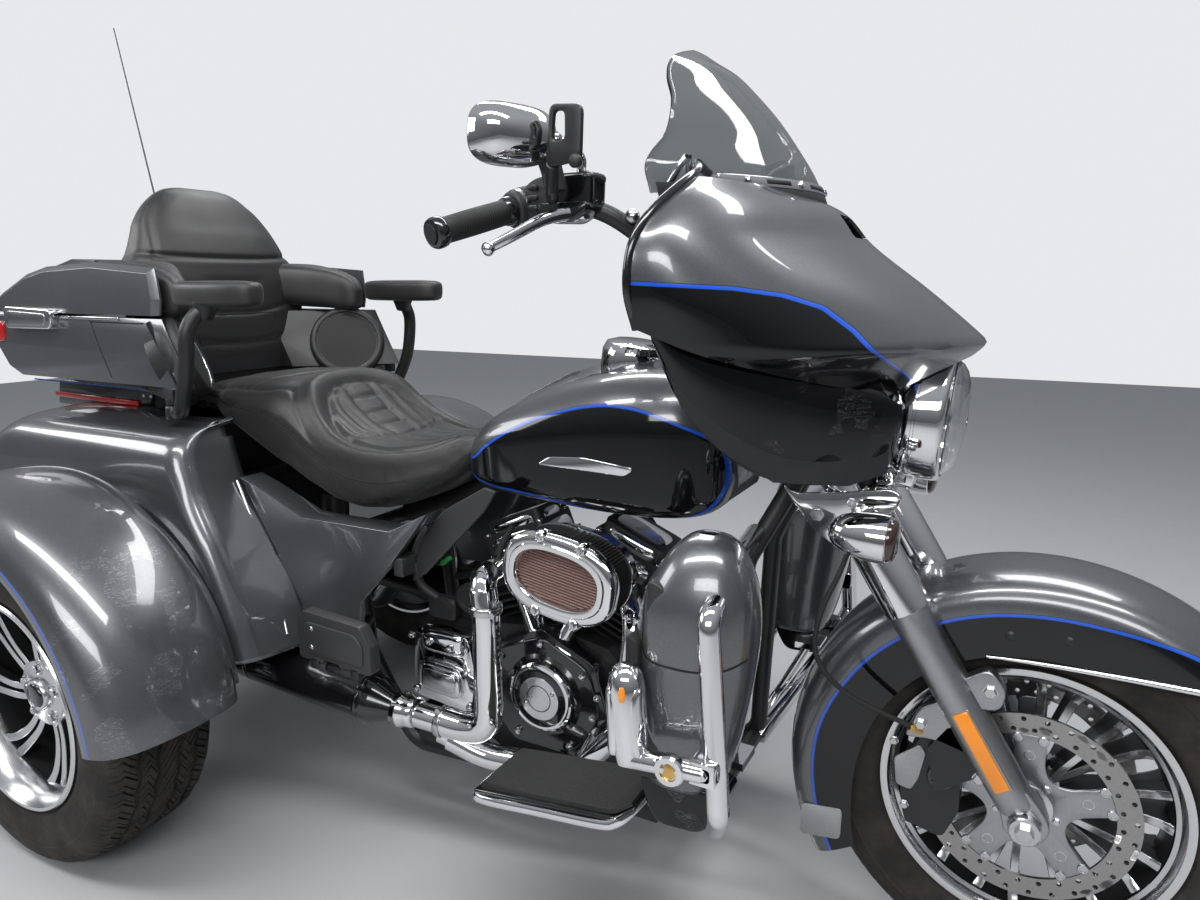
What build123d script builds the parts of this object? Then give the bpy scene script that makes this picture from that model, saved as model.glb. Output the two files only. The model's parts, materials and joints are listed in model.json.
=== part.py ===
from build123d import *
import math
import os

os.makedirs("parts", exist_ok=True)

# Motorized touring trike. Millimetres, +X forward, +Y left, +Z up.
# It is drawn from the floor point under the rear axle, and save() moves every piece
# back by ORIGIN_X so that the origin lies under the middle of the trike.
# What turns with the fork is drawn from the floor point under the front axle instead.

WHEELBASE = 1670
FRONT_TYRE_R = 320
REAR_TYRE_R = 324
REAR_WHEEL_Y = 535
ANTENNA_TIP = (-758, 1790)
ORIGIN_X = (ANTENNA_TIP[0] + WHEELBASE + FRONT_TYRE_R) / 2
RAKE = 26.0
TRAIL = 99
FORK_ANGLE = 32.0
FORK_Y = 103
DISC_R = 150
DISC_Y = 66
TANK_HALF = 170
ENGINE_X = 865
ENGINE_Z = 310
CYLINDER_LEAN = 22.5
RAIL_Y = 140
TRUNK_HALF = 300
TRUNK_SPLIT = 1022
BODY_SIDE = 405
DOOR_HALF = 290
SKIN = 6
GAP = 6
PIN_R = 5
PIN_PLAY = 0.5


# the steering axis and the fork legs, measured from the front axle
def steer_x(z):
    return TRAIL - math.tan(math.radians(RAKE)) * z


def fork_x(z):
    return -math.tan(math.radians(FORK_ANGLE)) * (z - FRONT_TYRE_R)


# the steering axis, measured from the rear axle
def neck_x(z):
    return WHEELBASE + steer_x(z)


# Shape helpers. Outlines are lists of points; corners can be rounded.

def outline(points, radius=0):
    if radius:
        return make_face(FilletPolyline(*points, radius=radius, close=True))
    return make_face(Polyline(*points, close=True))


# side view outline (x, z), pulled from y=low to y=high
def slab(points, low, high, radius=0):
    return extrude(outline([(x, low, z) for x, z in points], radius), amount=high - low, dir=(0, 1, 0))


# plan outline (x, y), pulled from z=low to z=high
def deck(points, low, high, radius=0):
    return extrude(outline([(x, y, low) for x, y in points], radius), amount=high - low, dir=(0, 0, 1))


# front view outline (y, z), pulled from x=low to x=high
def bulkhead(points, low, high, radius=0):
    return extrude(outline([(low, y, z) for y, z in points], radius), amount=high - low, dir=(1, 0, 0))


def block(x, y, z):
    size = Box(x[1] - x[0], y[1] - y[0], z[1] - z[0])
    return Pos((x[0] + x[1]) / 2, (y[0] + y[1]) / 2, (z[0] + z[1]) / 2) * size


def rod(start, end, radius, end_radius=None):
    a = Vector(*start)
    b = Vector(*end)
    plane = Plane(origin=a, z_dir=b - a)
    up = (Align.CENTER, Align.CENTER, Align.MIN)
    if end_radius is None:
        return plane * Cylinder(radius, (b - a).length, align=up)
    return plane * Cone(radius, end_radius, (b - a).length, align=up)


def pipe(points, bend, radius):
    path = FilletPolyline(*points, radius=bend)
    return sweep(Plane(origin=path @ 0, z_dir=path % 0) * Circle(radius), path)


# round body turned about the line from start, given (distance, radius) steps
def spindle(start, towards, steps):
    a = Vector(*start)
    points = [(0, steps[0][0])] + [(r, d) for d, r in steps] + [(0, steps[-1][0])]
    profile = Plane.XZ * make_face(Polyline(*points, close=True))
    return Plane(origin=a, z_dir=Vector(*towards) - a) * revolve(profile, axis=Axis.Z)


# rounded rectangle across the trike at x
def tile(x, y, z, radius):
    plane = Plane(origin=(x, (y[0] + y[1]) / 2, (z[0] + z[1]) / 2), x_dir=(0, 1, 0), z_dir=(1, 0, 0))
    return plane * RectangleRounded(y[1] - y[0], z[1] - z[0], radius)


# rounded rectangle in plan at height z
def plate(z, x, y, radius):
    plane = Plane(origin=((x[0] + x[1]) / 2, (y[0] + y[1]) / 2, z))
    return plane * RectangleRounded(x[1] - x[0], y[1] - y[0], radius)


# section of (y offset, radius) points turned about a wheel axle at centre
def turned(section, centre, arc=360, start=0):
    x, y0, z = centre
    angle = math.radians(start)
    points = [(x + r * math.cos(angle), y0 + y, z + r * math.sin(angle)) for y, r in section]
    axle = Axis(centre, (0, -1, 0))
    return revolve(make_face(Polyline(*points, close=True)), axis=axle, revolution_arc=arc)


def flip(shape):
    return mirror(shape, about=Plane.XZ)


def both(shape):
    return [shape, flip(shape)]


def solids_of(thing):
    if isinstance(thing, (list, tuple)):
        return [solid for item in thing for solid in solids_of(item)]
    return list(thing.solids())


# the largest solid, without slivers that a cut leaves
def keep(shape):
    return max(shape.solids(), key=lambda solid: solid.volume)


def clear_of(shape, others):
    for other in others:
        shape = shape - other
    return shape


def save(name, *things):
    moved = [Pos(-ORIGIN_X, 0, 0) * solid for solid in solids_of(things)]
    export_step(moved[0] if len(moved) == 1 else Compound(children=moved), f"parts/{name}.step")
    print(name, len(moved))


def save_front(name, *things):
    save(name, [Pos(WHEELBASE, 0, 0) * solid for solid in solids_of(things)])


# Tyres: (y, radius) from the bead out to the middle of the tread.

FRONT_TYRE = [(40, 203), (46, 214), (56, 224), (64, 248), (64, 272), (55, 296), (36, 312), (18, 319)]
REAR_TYRE = [(84, 190), (90, 206), (99, 216), (103, 250), (102, 284), (95, 305), (80, 318), (40, 323)]


def tyre(centre, side, radius):
    right = [(-y, r) for y, r in side]
    left = [(y, r) for y, r in reversed(side)]
    return turned(right + [(0, radius)] + left, centre)


# Front wheel: rim with ten pairs of thin spokes a side, hub and two floating discs.

FRONT_RIM = [(-56, 202), (-56, 214), (-46, 214), (-40, 203), (40, 203), (46, 214), (56, 214), (56, 202),
             (44, 190), (20, 182), (-20, 182), (-44, 190)]
SPOKE_PAIRS = 10
SPOKE_SPREAD = 7


def polar(centre, radius, degrees, y=0):
    angle = math.radians(degrees)
    return (centre[0] + radius * math.cos(angle), centre[1] + y, centre[2] + radius * math.sin(angle))


def brake_disc(centre, y, thick):
    x, _, z = centre
    face = Plane(origin=(x, y, z), z_dir=(0, 1, 0))
    shape = face * (Cylinder(DISC_R, thick) - Cylinder(DISC_R - 34, thick + 2))
    shape += face * Cylinder(60, thick)
    for k in range(10):
        shape += face * Rot(0, 0, 36 * k) * Pos(86, 0, 0) * Box(68, 13, thick)
    holes = [face * Rot(0, 0, 18 * k) * Pos(DISC_R - 11 - 12 * (k % 2), 0, 0) * Cylinder(4, thick + 2)
             for k in range(20)]
    return shape - holes


def front_rim(centre):
    x, _, z = centre
    shape = turned(FRONT_RIM, centre) + rod((x, -DISC_Y, z), (x, DISC_Y, z), 36)
    for k in range(SPOKE_PAIRS):
        for side in (-1, 1):
            at = 36 * k + side * SPOKE_SPREAD
            shape += rod(polar(centre, 30, at, side * 26), polar(centre, 188, at, side * 16), 7, 5.5)
    for side in (-1, 1):
        shape += brake_disc(centre, side * DISC_Y, 6)
    return shape - rod((x, -100, z), (x, 100, z), 11 + PIN_PLAY)


# Rear wheel: deep lip, dished hub and many curved spokes; side is -1 right, 1 left.

REAR_SPOKES = 14


def rear_rim(centre, side):
    x, y, z = centre
    section = [(-100, 197), (-100, 206), (-90, 206), (-84, 190), (84, 190), (90, 206), (100, 206), (100, 197),
               (80, 181), (40, 174), (-80, 180)]
    shape = turned([(side * a, r) for a, r in section], centre)
    shape += spindle((x, y + side * 4, z), (x, y + side * 60, z),
                     [(0, 74), (18, 74), (30, 60), (34, 40), (46, 38)])
    for k in range(REAR_SPOKES):
        at = 360 / REAR_SPOKES * k
        shape += rod(polar(centre, 56, at, side * 16), polar(centre, 184, at + 12, side * 50), 11, 8)
    for k in range(5):
        shape += rod(polar(centre, 52, 72 * k, side * 20), polar(centre, 52, 72 * k, side * 40), 9)
    return shape


front_hub = (0, 0, FRONT_TYRE_R)
save_front("front_tyre", tyre(front_hub, FRONT_TYRE, FRONT_TYRE_R))
save_front("front_rim", front_rim(front_hub))
for name, side in (("right", -1), ("left", 1)):
    hub = (0, side * REAR_WHEEL_Y, REAR_TYRE_R)
    save(f"rear_tyre_{name}", tyre(hub, REAR_TYRE, REAR_TYRE_R))
    save(f"rear_rim_{name}", rear_rim(hub, side))

# Frame: steering neck, backbone, two cradle rails a side and the cross tubes.

FOOT_HINGE = (550, 350, 406)
ARM_POST = (92, TRUNK_HALF)


def main_frame():
    shape = rod((neck_x(830), 0, 830), (neck_x(960), 0, 960), 38)
    shape += pipe([(neck_x(900) - 36, 0, 905), (1050, 0, 825), (720, 0, 715), (430, 0, 600)], 100, 22)
    for side in (-1, 1):
        y = side * RAIL_Y
        shape += pipe([(neck_x(850) - 34, side * 8, 840), (1225, side * 75, 640), (1190, y, 190),
                       (540, y, 150), (430, y, 330), (400, y, 590), (-132, y, 620)], 60, 16)
        pin_x, pin_y, pin_z = FOOT_HINGE
        shape += rod((430, y, pin_z - 4), (pin_x, side * (pin_y - 4), pin_z - 4), 9)
        shape += rod((pin_x - 60, side * pin_y, pin_z), (pin_x + 62, side * pin_y, pin_z), PIN_R)
        low, high = sorted((side * (RAIL_Y - 25), side * (RAIL_Y + 25)))
        shape += block((900, 1000), (low, high), (125, 165))
    for x, z, r in ((410, 590, 16), (-110, 619, 14), (1190, 205, 14), (510, 175, 14)):
        shape += rod((x, -RAIL_Y, z), (x, RAIL_Y, z), r)
    shape += block((1020, 1100), (-RAIL_Y - 10, RAIL_Y + 10), (150, 212))
    shape += block((560, 610), (-RAIL_Y - 10, RAIL_Y + 10), (150, 236))
    return shape - rod((neck_x(780), 0, 780), (neck_x(980), 0, 980), 28)


# Rear axle: differential, axle tubes, swingarm, brake discs and the two shocks.

def rear_axle(frame):
    shape = rod((0, -420, REAR_TYRE_R), (0, 420, REAR_TYRE_R), 36)
    shape += spindle((0, -95, REAR_TYRE_R), (0, 95, REAR_TYRE_R),
                     [(0, 50), (35, 92), (95, 108), (150, 92), (185, 50)])
    shape += rod((-10, 0, 324), (-105, 0, 324), 78, 60)
    for side in (-1, 1):
        shape += pipe([(0, side * 240, REAR_TYRE_R), (250, side * 200, 330),
                       (445, side * (RAIL_Y + 28), 330)], 60, 25)
        shape += rod((0, side * 419, REAR_TYRE_R), (0, side * (REAR_WHEEL_Y + 4), REAR_TYRE_R), 24)
        shape += rod((0, side * 436, REAR_TYRE_R), (0, side * 446, REAR_TYRE_R), 140)
        shape += rod((-30, side * 210, 345), (20, side * 175, 600), 20)
        shape += rod((-24, side * 206, 390), (10, side * 182, 560), 38)
        shape += rod((20, side * 190, 596), (20, side * RAIL_Y, 612), 12)
    return shape - frame


frame = main_frame()
axle = rear_axle(frame)
save("main_frame", frame)
save("rear_axle", axle)

# Engine: V twin at 45 degrees, gearbox behind it, covers on both sides.

def engine_cases():
    shape = slab([(700, 200), (740, 175), (980, 175), (1030, 230), (1030, 380), (980, 440), (900, 452),
                  (860, 440), (820, 452), (720, 440), (700, 400)], -110, 110, 12)
    shape += slab([(540, 240), (702, 220), (702, 430), (560, 430), (530, 380)], -105, 105, 12)
    shape += rod((1028, 0, 265), (1085, 0, 262), 42)
    shape += rod((660, -100, 445), (660, 60, 445), 48)
    return shape - frame


def cylinder(lean, toward):
    tilt = math.radians(lean)
    along = Plane(origin=(ENGINE_X, 0, ENGINE_Z), x_dir=(math.cos(tilt), 0, -math.sin(tilt)),
                  z_dir=(math.sin(tilt), 0, math.cos(tilt)))
    barrel = Pos(0, 0, 172) * Cylinder(62, 124)
    for k in range(7):
        barrel += Pos(0, 0, 132 + 14 * k) * Box(146, 150, 5)
    head = Pos(0, 0, 262) * Box(144, 146, 60)
    for k in range(3):
        head += Pos(0, 0, 240 + 16 * k) * Box(156, 156, 5)
    cover = Pos(0, 0, 312) * Box(150, 118, 40)
    cover += Pos(0, 0, 344) * Box(132, 92, 26)
    cover = fillet(cover.edges().filter_by(Axis.Z), 14)
    half = block(toward, (-120, 120), (300, 720))
    return (along * (barrel + head)) & half, along * cover


cases = engine_cases()
rear_barrel, rear_rocker = cylinder(-CYLINDER_LEAN, (500, ENGINE_X - 1))
front_barrel, front_rocker = cylinder(CYLINDER_LEAN, (ENGINE_X + 1, 1250))
rear_barrel = keep(rear_barrel + rear_rocker - cases)
front_barrel = keep(front_barrel + front_rocker - cases)
save("engine_cases", cases)
save("cylinders", rear_barrel, front_barrel)


# Cam cover with its round plate, pushrod tubes, gearbox side cover, oval primary cover on the left.

def engine_covers():
    cam = slab([(735, 300), (800, 232), (935, 232), (1000, 320), (975, 420), (865, 470), (755, 420)],
               -150, -110, 24)
    cam += spindle((872, -150, 345), (872, -180, 345), [(0, 78), (6, 78), (8, 62), (22, 62), (26, 52)])
    for lean, x in ((-CYLINDER_LEAN, 842), (CYLINDER_LEAN, 888)):
        tilt = math.radians(lean)
        top = (x + 195 * math.sin(tilt), -112, 440 + 150 * math.cos(tilt))
        cam += rod((x, -128, 430), top, 13) - rear_barrel - front_barrel
    gearbox = slab([(545, 262), (690, 252), (705, 330), (690, 412), (560, 415)], -145, -105, 22)
    gearbox += slab([(570, 290), (675, 282), (680, 345), (575, 350)], -156, -140, 14)
    primary = slab([(560, 240), (640, 212), (940, 212), (1015, 300), (960, 400), (620, 420), (560, 380)],
                   110, 176, 40)
    primary += slab([(585, 262), (650, 236), (930, 236), (988, 300), (945, 378), (635, 396), (585, 362)],
                    176, 190, 34)
    primary += rod((900, 188, 305), (900, 198, 305), 62)
    return [keep(cover - cases - frame) for cover in (cam, gearbox, primary)]


def ellipse_slot(width, height, low, high, centre, tilt):
    plane = Plane(origin=(centre[0], low, centre[1]), x_dir=(1, 0, 0), z_dir=(0, -1, 0))
    return plane * Rot(0, 0, tilt) * extrude(SlotOverall(width, height), amount=low - high)


# Air cleaner: round backing, pleated element, oval cover ring with a ribbed window.
CLEANER = (958, 622)
CLEANER_TILT = -9


def air_cleaner():
    shape = ellipse_slot(196, 128, -172, -196, CLEANER, CLEANER_TILT)
    shape += ellipse_slot(214, 146, -196, -258, (970, 624), CLEANER_TILT)
    shape += ellipse_slot(212, 138, -256, -276, CLEANER, CLEANER_TILT)
    shape -= ellipse_slot(166, 92, -262, -290, CLEANER, CLEANER_TILT)
    shape += rod((940, -180, 610), (866, -40, 560), 26)
    shape += block((826, 906), (-70, 40), (530, 572))
    return keep(shape - rear_barrel - front_barrel - cases)


covers = engine_covers()
save("engine_covers", covers)
save("air_cleaner", air_cleaner())

# Exhaust. The right header comes down behind the air cleaner and turns back into the muffler.

MUFFLER = [(0, 26), (45, 46), (60, 48), (400, 48), (415, 36)]
MUFFLER_Y = 262


def tail_pipe():
    return pipe([(205, -MUFFLER_Y, 322), (150, -MUFFLER_Y, 322), (80, -MUFFLER_Y, 238),
                 (-60, -MUFFLER_Y, 232), (-470, -MUFFLER_Y, 236)], 40, 27)


muffler = keep(spindle((612, -MUFFLER_Y, 300), (200, -MUFFLER_Y, 322), MUFFLER) + tail_pipe() - axle)
rear_header = pipe([(745, -80, 562), (780, -215, 575), (800, -232, 500), (800, -232, 290), (720, -240, 285),
                    (600, -MUFFLER_Y, 300)], 38, 24)
front_header = pipe([(1000, -80, 556), (1055, -150, 520), (1045, -180, 330), (960, -190, 235),
                     (800, -225, 235), (700, -245, 268)], 45, 21)
left_header = pipe([(700, 150, 165), (640, 225, 205), (606, MUFFLER_Y, 300), (590, MUFFLER_Y, 302)], 20, 22)
blockers = [rear_barrel, front_barrel, cases, frame, muffler, flip(muffler)] + covers


right_pipes = clear_of(rear_header + front_header, blockers)
save("exhaust_pipes", right_pipes, clear_of(left_header, blockers))
save("mufflers", muffler, flip(muffler))

# Fuel tank, and the chrome console along its top with the filler dome.

TANK = [  # x, half width, bottom, top, corner radius
    (682, 104, 744, 788, 18),
    (706, 138, 732, 816, 34),
    (744, 152, 724, 850, 50),
    (810, 160, 720, 886, 68),
    (900, 167, 715, 922, 84),
    (1010, TANK_HALF, 710, 948, 92),
    (1110, 160, 712, 948, 88),
    (1165, 132, 718, 930, 74),
    (1197, 92, 740, 890, 52),
]
tank = loft([tile(x, (-w, w), (low, top), r) for x, w, low, top, r in TANK])
tank -= slab([(640, 650), (1240, 650), (1240, 925), (1100, 890), (800, 776), (640, 740)], -42, 42)
save("fuel_tank", tank)

console = slab([(690, 796), (760, 850), (860, 898), (960, 932), (1080, 946), (1080, 964), (960, 960),
                (860, 928), (760, 878), (700, 836)], -34, 34)
console += spindle((975, 0, 925), (985, 0, 995), [(0, 62), (46, 62), (60, 56), (66, 40)])

# Seat, one skin over both places: x, half width, bottom, top, drop from the crown to the edge.

SEAT = [
    (-78, 128, 806, 864, 22),
    (20, 160, 804, 880, 30),
    (76, 194, 802, 888, 40),
    (130, 210, 786, 893, 46),
    (225, 212, 738, 894, 50),
    (290, 208, 706, 872, 46),
    (340, 204, 680, 822, 36),
    (400, 200, 656, 786, 26),
    (480, 188, 646, 774, 24),
    (560, 158, 668, 782, 26),
    (630, 112, 706, 804, 26),
    (700, 50, 775, 832, 16),
]


def seat_section(x, half, low, high, drop):
    right = [(-half + 26, low), (-half, low + 22), (-half, high - drop), (-0.86 * half, high - 0.4 * drop),
             (-0.55 * half, high)]
    points = right + [(-y, z) for y, z in reversed(right)]
    return make_face(Polyline(*[(x, y, z) for y, z in points], close=True))


seat = keep(loft([seat_section(*row) for row in SEAT], ruled=True) - tank - frame)
console -= seat
save("tank_console", keep(console - tank))

# Backrest: U-shaped band hugging the trunk front, and the tall pad above it.

BAND = [(-236, -150), (-236, 45 - TRUNK_HALF), (-60, 30 - TRUNK_HALF), (70, 32 - TRUNK_HALF),
        (78, 72 - TRUNK_HALF), (-20, 95 - TRUNK_HALF), (-88, -150), (-105, 0)]
BAND_SIDE = [(-240, 1034), (50, 1016), (80, 1036), (80, 1078), (52, 1112), (-60, 1136), (-240, 1140)]
BACK_PAD = [  # z, half width, x back, x front, corner radius
    (1040, 236, -232, -86, 44),
    (1157, 200, -212, -96, 42),
    (1224, 174, -210, -126, 38),
    (1285, 122, -204, -154, 23),
    (1312, 66, -200, -174, 12),
]


def backrest():
    left = [(x, -y) for x, y in reversed(BAND[:-1])]
    shape = deck(BAND + left, 1010, 1150) & slab(BAND_SIDE, -TRUNK_HALF, TRUNK_HALF)
    shape += loft([plate(z, (a, b), (-w, w), r) for z, w, a, b, r in BACK_PAD], ruled=True)
    shape += slab([(-112, 892), (-76, 892), (-96, 1050), (-150, 1050)], -165, 165)
    return shape


# Tour trunk: box with slanted front corners for the speaker pods, and the lid that opens to the left.

LID_HINGE = (TRUNK_HALF + 9, TRUNK_SPLIT + 6)
POD_CORNER = (121, -TRUNK_HALF, 942)
POD_NORMAL = (0.65, 0.67, 0.35)
POD_INSET = 73
POD_R = 88
LID_ARM = 16
KNUCKLE_R = 7.5


def trunk_box():
    side = [(-500, 905), (-450, 885), (170, 885), (170, TRUNK_SPLIT), (-556, TRUNK_SPLIT), (-545, 960)]
    shape = slab(side, -TRUNK_HALF, TRUNK_HALF)
    slope = Plane(origin=POD_CORNER, z_dir=POD_NORMAL) * Pos(0, 0, 200) * Box(900, 900, 400)
    slope &= block((-200, 400), (-TRUNK_HALF - 100, -110), (700, 1200))
    shape -= both(slope)
    shape -= slab([(-492, 910), (-446, 893), (-246, 893), (-246, 1050), (-548, 1050), (-537, 962)],
                  -TRUNK_HALF + SKIN, TRUNK_HALF - SKIN)
    shape -= block((-70, 200), (-118, 118), (870, 1050))
    y, z = LID_HINGE
    for x in (-545, -275):
        shape += rod((x, y, z), (x + 22, y, z), KNUCKLE_R)
        shape += block((x, x + 22), (TRUNK_HALF - 1, y + 4), (z - 30, z - 4))
    return shape + rod((-545, y, z), (-253, y, z), PIN_R)


def trunk_lid():
    low = TRUNK_SPLIT + GAP
    side = [(-558, low), (55, low), (62, 1060), (55, 1122), (-144, 1136), (-320, 1128), (-400, 1112),
            (-510, 1070), (-560, 1046)]
    shape = slab(side, -TRUNK_HALF, TRUNK_HALF)
    shape = chamfer(shape.edges().filter_by(Axis.Y, reverse=True).filter_by_position(Axis.Z, 1040, 1160), 12)
    shape += slab([(-246, 1100), (-246, 1142), (-330, 1146), (-430, 1124), (-480, 1090)],
                  75 - TRUNK_HALF, TRUNK_HALF - 75)
    shape -= block((-246, 100), (LID_ARM - TRUNK_HALF, TRUNK_HALF - LID_ARM), (900, 1300))
    inside = [(-551, low - 5), (-254, low - 5), (-254, 1120), (-320, 1118), (-398, 1102), (-507, 1061),
              (-551, 1042)]
    shape -= slab(inside, -TRUNK_HALF + SKIN, TRUNK_HALF - SKIN)
    y, z = LID_HINGE
    shape += rod((-518, y, z), (-280, y, z), KNUCKLE_R)
    shape += block((-518, -280), (TRUNK_HALF - 1, y), (z, z + KNUCKLE_R))
    return shape - rod((-530, y, z), (-270, y, z), PIN_R + PIN_PLAY)


def speaker_pod():
    x, y, z = POD_CORNER
    face = Plane(origin=(x - POD_INSET * POD_NORMAL[1] / POD_NORMAL[0], y + POD_INSET, z), z_dir=POD_NORMAL)
    ring = Cylinder(POD_R - 4, 8) - Cylinder(POD_R - 16, 10)
    return face * (Cylinder(POD_R, 24) + Pos(0, 0, 12) * ring)


backrest_shape = backrest()
box = trunk_box()
pod = speaker_pod()
box = keep(clear_of(box, [backrest_shape] + both(pod)))
seat = keep(clear_of(seat, [backrest_shape, box] + both(pod)))
save("seat", seat)
save("backrest", backrest_shape)
save("trunk_box", box)
save("trunk_lid", trunk_lid())
save("speaker_pods", both(pod - backrest_shape))

# Rack under the trunk with the armrest posts; whip antenna.

RACK_EDGE = [(-430, -200), (-60, -250), (60, -TRUNK_HALF), (118, -TRUNK_HALF - 20), (118, 20 - TRUNK_HALF),
             (40, -222), (-84, -195)]
rack = deck(RACK_EDGE + [(x, -y) for x, y in reversed(RACK_EDGE)], 862, 885)
rack += block((-330, -120), (-150, 150), (815, 866))
for side in (-1, 1):
    rack += rod((ARM_POST[0], side * ARM_POST[1], 853), (ARM_POST[0], side * ARM_POST[1], 866), 16)
    rack += rod((ARM_POST[0], side * ARM_POST[1], 824), (ARM_POST[0], side * ARM_POST[1], 854), PIN_R)
rack = keep(clear_of(rack, [seat] + both(pod)))
save("trunk_rack", rack)
ANTENNA_Y = TRUNK_HALF - 85
antenna = rod((-574, ANTENNA_Y, 985), (ANTENNA_TIP[0] + 1, ANTENNA_Y, ANTENNA_TIP[1]), 3, 1.5)
antenna += rod((-570, ANTENNA_Y, 965), (-580, ANTENNA_Y, 1012), 8)
antenna += block((-582, -520), (ANTENNA_Y - 12, ANTENNA_Y + 12), (958, 982))
save("antenna", keep(antenna - box))


ARM_PAD = [  # z, half length, half width, corner radius
    (1060, 96, 26, 20),
    (1070, 116, 36, 30),
    (1088, 118, 37, 31),
    (1097, 106, 28, 24),
]


def armrest(side):
    x, y = ARM_POST
    arm = pipe([(x, side * y, 837), (x + 40, side * (y + 14), 837), (x + 74, side * (y + 20), 905),
                (x + 84, side * (y + 18), 1000), (x + 108, side * (y - 30), 1062)], 16, 13)
    arm += rod((x, side * y, 824), (x, side * y, 849), 18)
    arm -= rod((x, side * y, 800), (x, side * y, 870), PIN_R + PIN_PLAY)
    pad_x, pad_y = 203, side * (y - 34)
    pad = loft([plate(z, (pad_x - a, pad_x + a), (pad_y - b, pad_y + b), r) for z, a, b, r in ARM_PAD],
               ruled=True)
    return arm + pad


arm = armrest(-1)
save("armrest_right", arm)
save("armrest_left", flip(arm))

# Rear body. Sections: z, rear x, rear half, side half, shoulder x, front x, front half.

BODY = [
    (385, -585, 340, BODY_SIDE, 352, 378, 300),
    (470, -600, 350, BODY_SIDE, 332, 350, 288),
    (600, -596, 350, 400, 288, 268, 266),
    (690, -562, 338, 394, 238, 206, 253),
    (750, -510, 330, 388, 214, 178, 248),
    (790, -440, 322, 376, 200, 160, 243),
    (808, -388, 290, 336, 184, 146, 238),
    (822, -340, 110, 160, 160, 136, 120),
]


def body_plan(z, rear, rear_half, side, shoulder, front, front_half, inset=0):
    half = [(rear + inset, -rear_half + inset), (rear + 70, -side + inset), (shoulder - inset, -side + inset),
            (front - inset, -front_half + inset)]
    points = half + [(x, -y) for x, y in reversed(half)]
    return make_face(Polyline(*[(x, y, z) for x, y in points], close=True))


DOOR_HINGE = (-612, 448)
DOOR_LOW = 455
DOOR_TOP = 690


def rear_body():
    outer = loft([body_plan(*row) for row in BODY], ruled=True)
    inner = loft([body_plan(*row, inset=8) for row in BODY], ruled=True)
    hold = inner & block((-700, -140), (-330, 330), (430, 775))
    door = (outer & block((-700, -540), (-DOOR_HALF, DOOR_HALF), (DOOR_LOW, DOOR_TOP))) - hold
    shape = outer - hold
    shape -= block((-700, -520), (-DOOR_HALF - GAP, DOOR_HALF + GAP), (DOOR_LOW - GAP, DOOR_TOP + GAP))
    shape -= inner & block((-132, 500), (-420, 420), (300, 792))
    shape -= block((-100, 500), (-238, 238), (300, 900))
    shape -= block((-560, -132), (-330, 330), (300, 400))
    shape -= block((-60, 60), (-450, 450), (300, 396))
    x, z = DOOR_HINGE
    for side in (-1, 1):
        y = side * 200
        shape -= block((x, -575), (y - 39, y + 39), (z - 12, z + 20))
        shape += rod((x, y - 52, z), (x, y + 52, z), PIN_R)
        for end in (-1, 1):
            shape += block((x - 10, -570), (y + end * 46 - 6, y + end * 46 + 6), (z - 14, z + 2))
            shape += rod((x, y + end * 46 - 6, z), (x, y + end * 46 + 6, z), 8)
        door += rod((x, y - 38, z), (x, y + 38, z), 9) + block((x - 4, -588), (y - 38, y + 38), (z, z + 14))
        door -= rod((x, y - 60, z), (x, y + 60, z), PIN_R + PIN_PLAY)
    return shape, keep(door)


body, door = rear_body()
cut = [frame, rack, seat]
body = keep(clear_of(body, cut))
save("rear_body", body)
save("tailgate", door)

# Rear fenders: crowned shell turned about the axle, with a flange onto the body side.

FLANGE = REAR_WHEEL_Y - BODY_SIDE + 1
FENDER = [(-160, 345), (-159, 366), (-148, 396), (-122, 418), (-80, 430), (-20, 434), (40, 430), (74, 418),
          (96, 388), (106, 352), (FLANGE, 352)]
FENDER_THICK = 6


def fender_shell(points, thick):
    inside = [(y * 0.965 if y < 120 else y, r - thick) for y, r in points]
    return points + list(reversed(inside))


fender = turned(fender_shell(FENDER, FENDER_THICK), (0, -REAR_WHEEL_Y, REAR_TYRE_R), 172, 5)
save("rear_fenders", both(keep(fender - body)))

# Side covers under the seat and the curved heat deflectors ahead of them.

SIDE_COVER = [(206, 704), (262, 686), (376, 642), (600, 645), (690, 690), (600, 580), (520, 496), (510, 412),
              (378, 408), (352, 470), (272, 600)]
side_cover = slab(SIDE_COVER, -252, -238)
side_cover += slab([(206, 704), (262, 686), (376, 642), (600, 645), (690, 690), (672, 664), (600, 622),
                    (365, 618), (246, 650)], -240, -196)
side_cover = keep(clear_of(side_cover, [body, frame, seat]))
deflector = slab([(618, 540), (650, 560), (790, 700), (815, 738), (790, 742), (700, 690), (640, 620)],
                 -214, -206)
deflector += block((606, 628), (-250, -206), (560, 596))
deflector = keep(clear_of(deflector, [side_cover, tank, seat, rear_barrel]))
save("side_covers", both(side_cover))
save("heat_deflectors", both(deflector))

# Leg shields: vertical shells open to the rider, with the guard tube through them.

SHIELD = [  # z, x back, x front, y outer, y inner, corner radius
    (385, 1162, 1282, -374, -250, 30),
    (490, 1150, 1306, -390, -240, 38),
    (620, 1150, 1322, -396, -238, 44),
    (700, 1176, 1312, -386, -246, 44),
    (754, 1212, 1284, -352, -272, 30),
]


def leg_shield():
    outer = loft([plate(z, (a, b), (c, d), r) for z, a, b, c, d, r in SHIELD])
    inner = loft([plate(z, (a - 60, b - 7), (c + 7, d - 7), r - 6) for z, a, b, c, d, r in SHIELD])
    shape = outer - Pos(0, 0, -7) * inner
    return shape + block((1225, 1240), (-262, -100), (560, 600))


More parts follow.
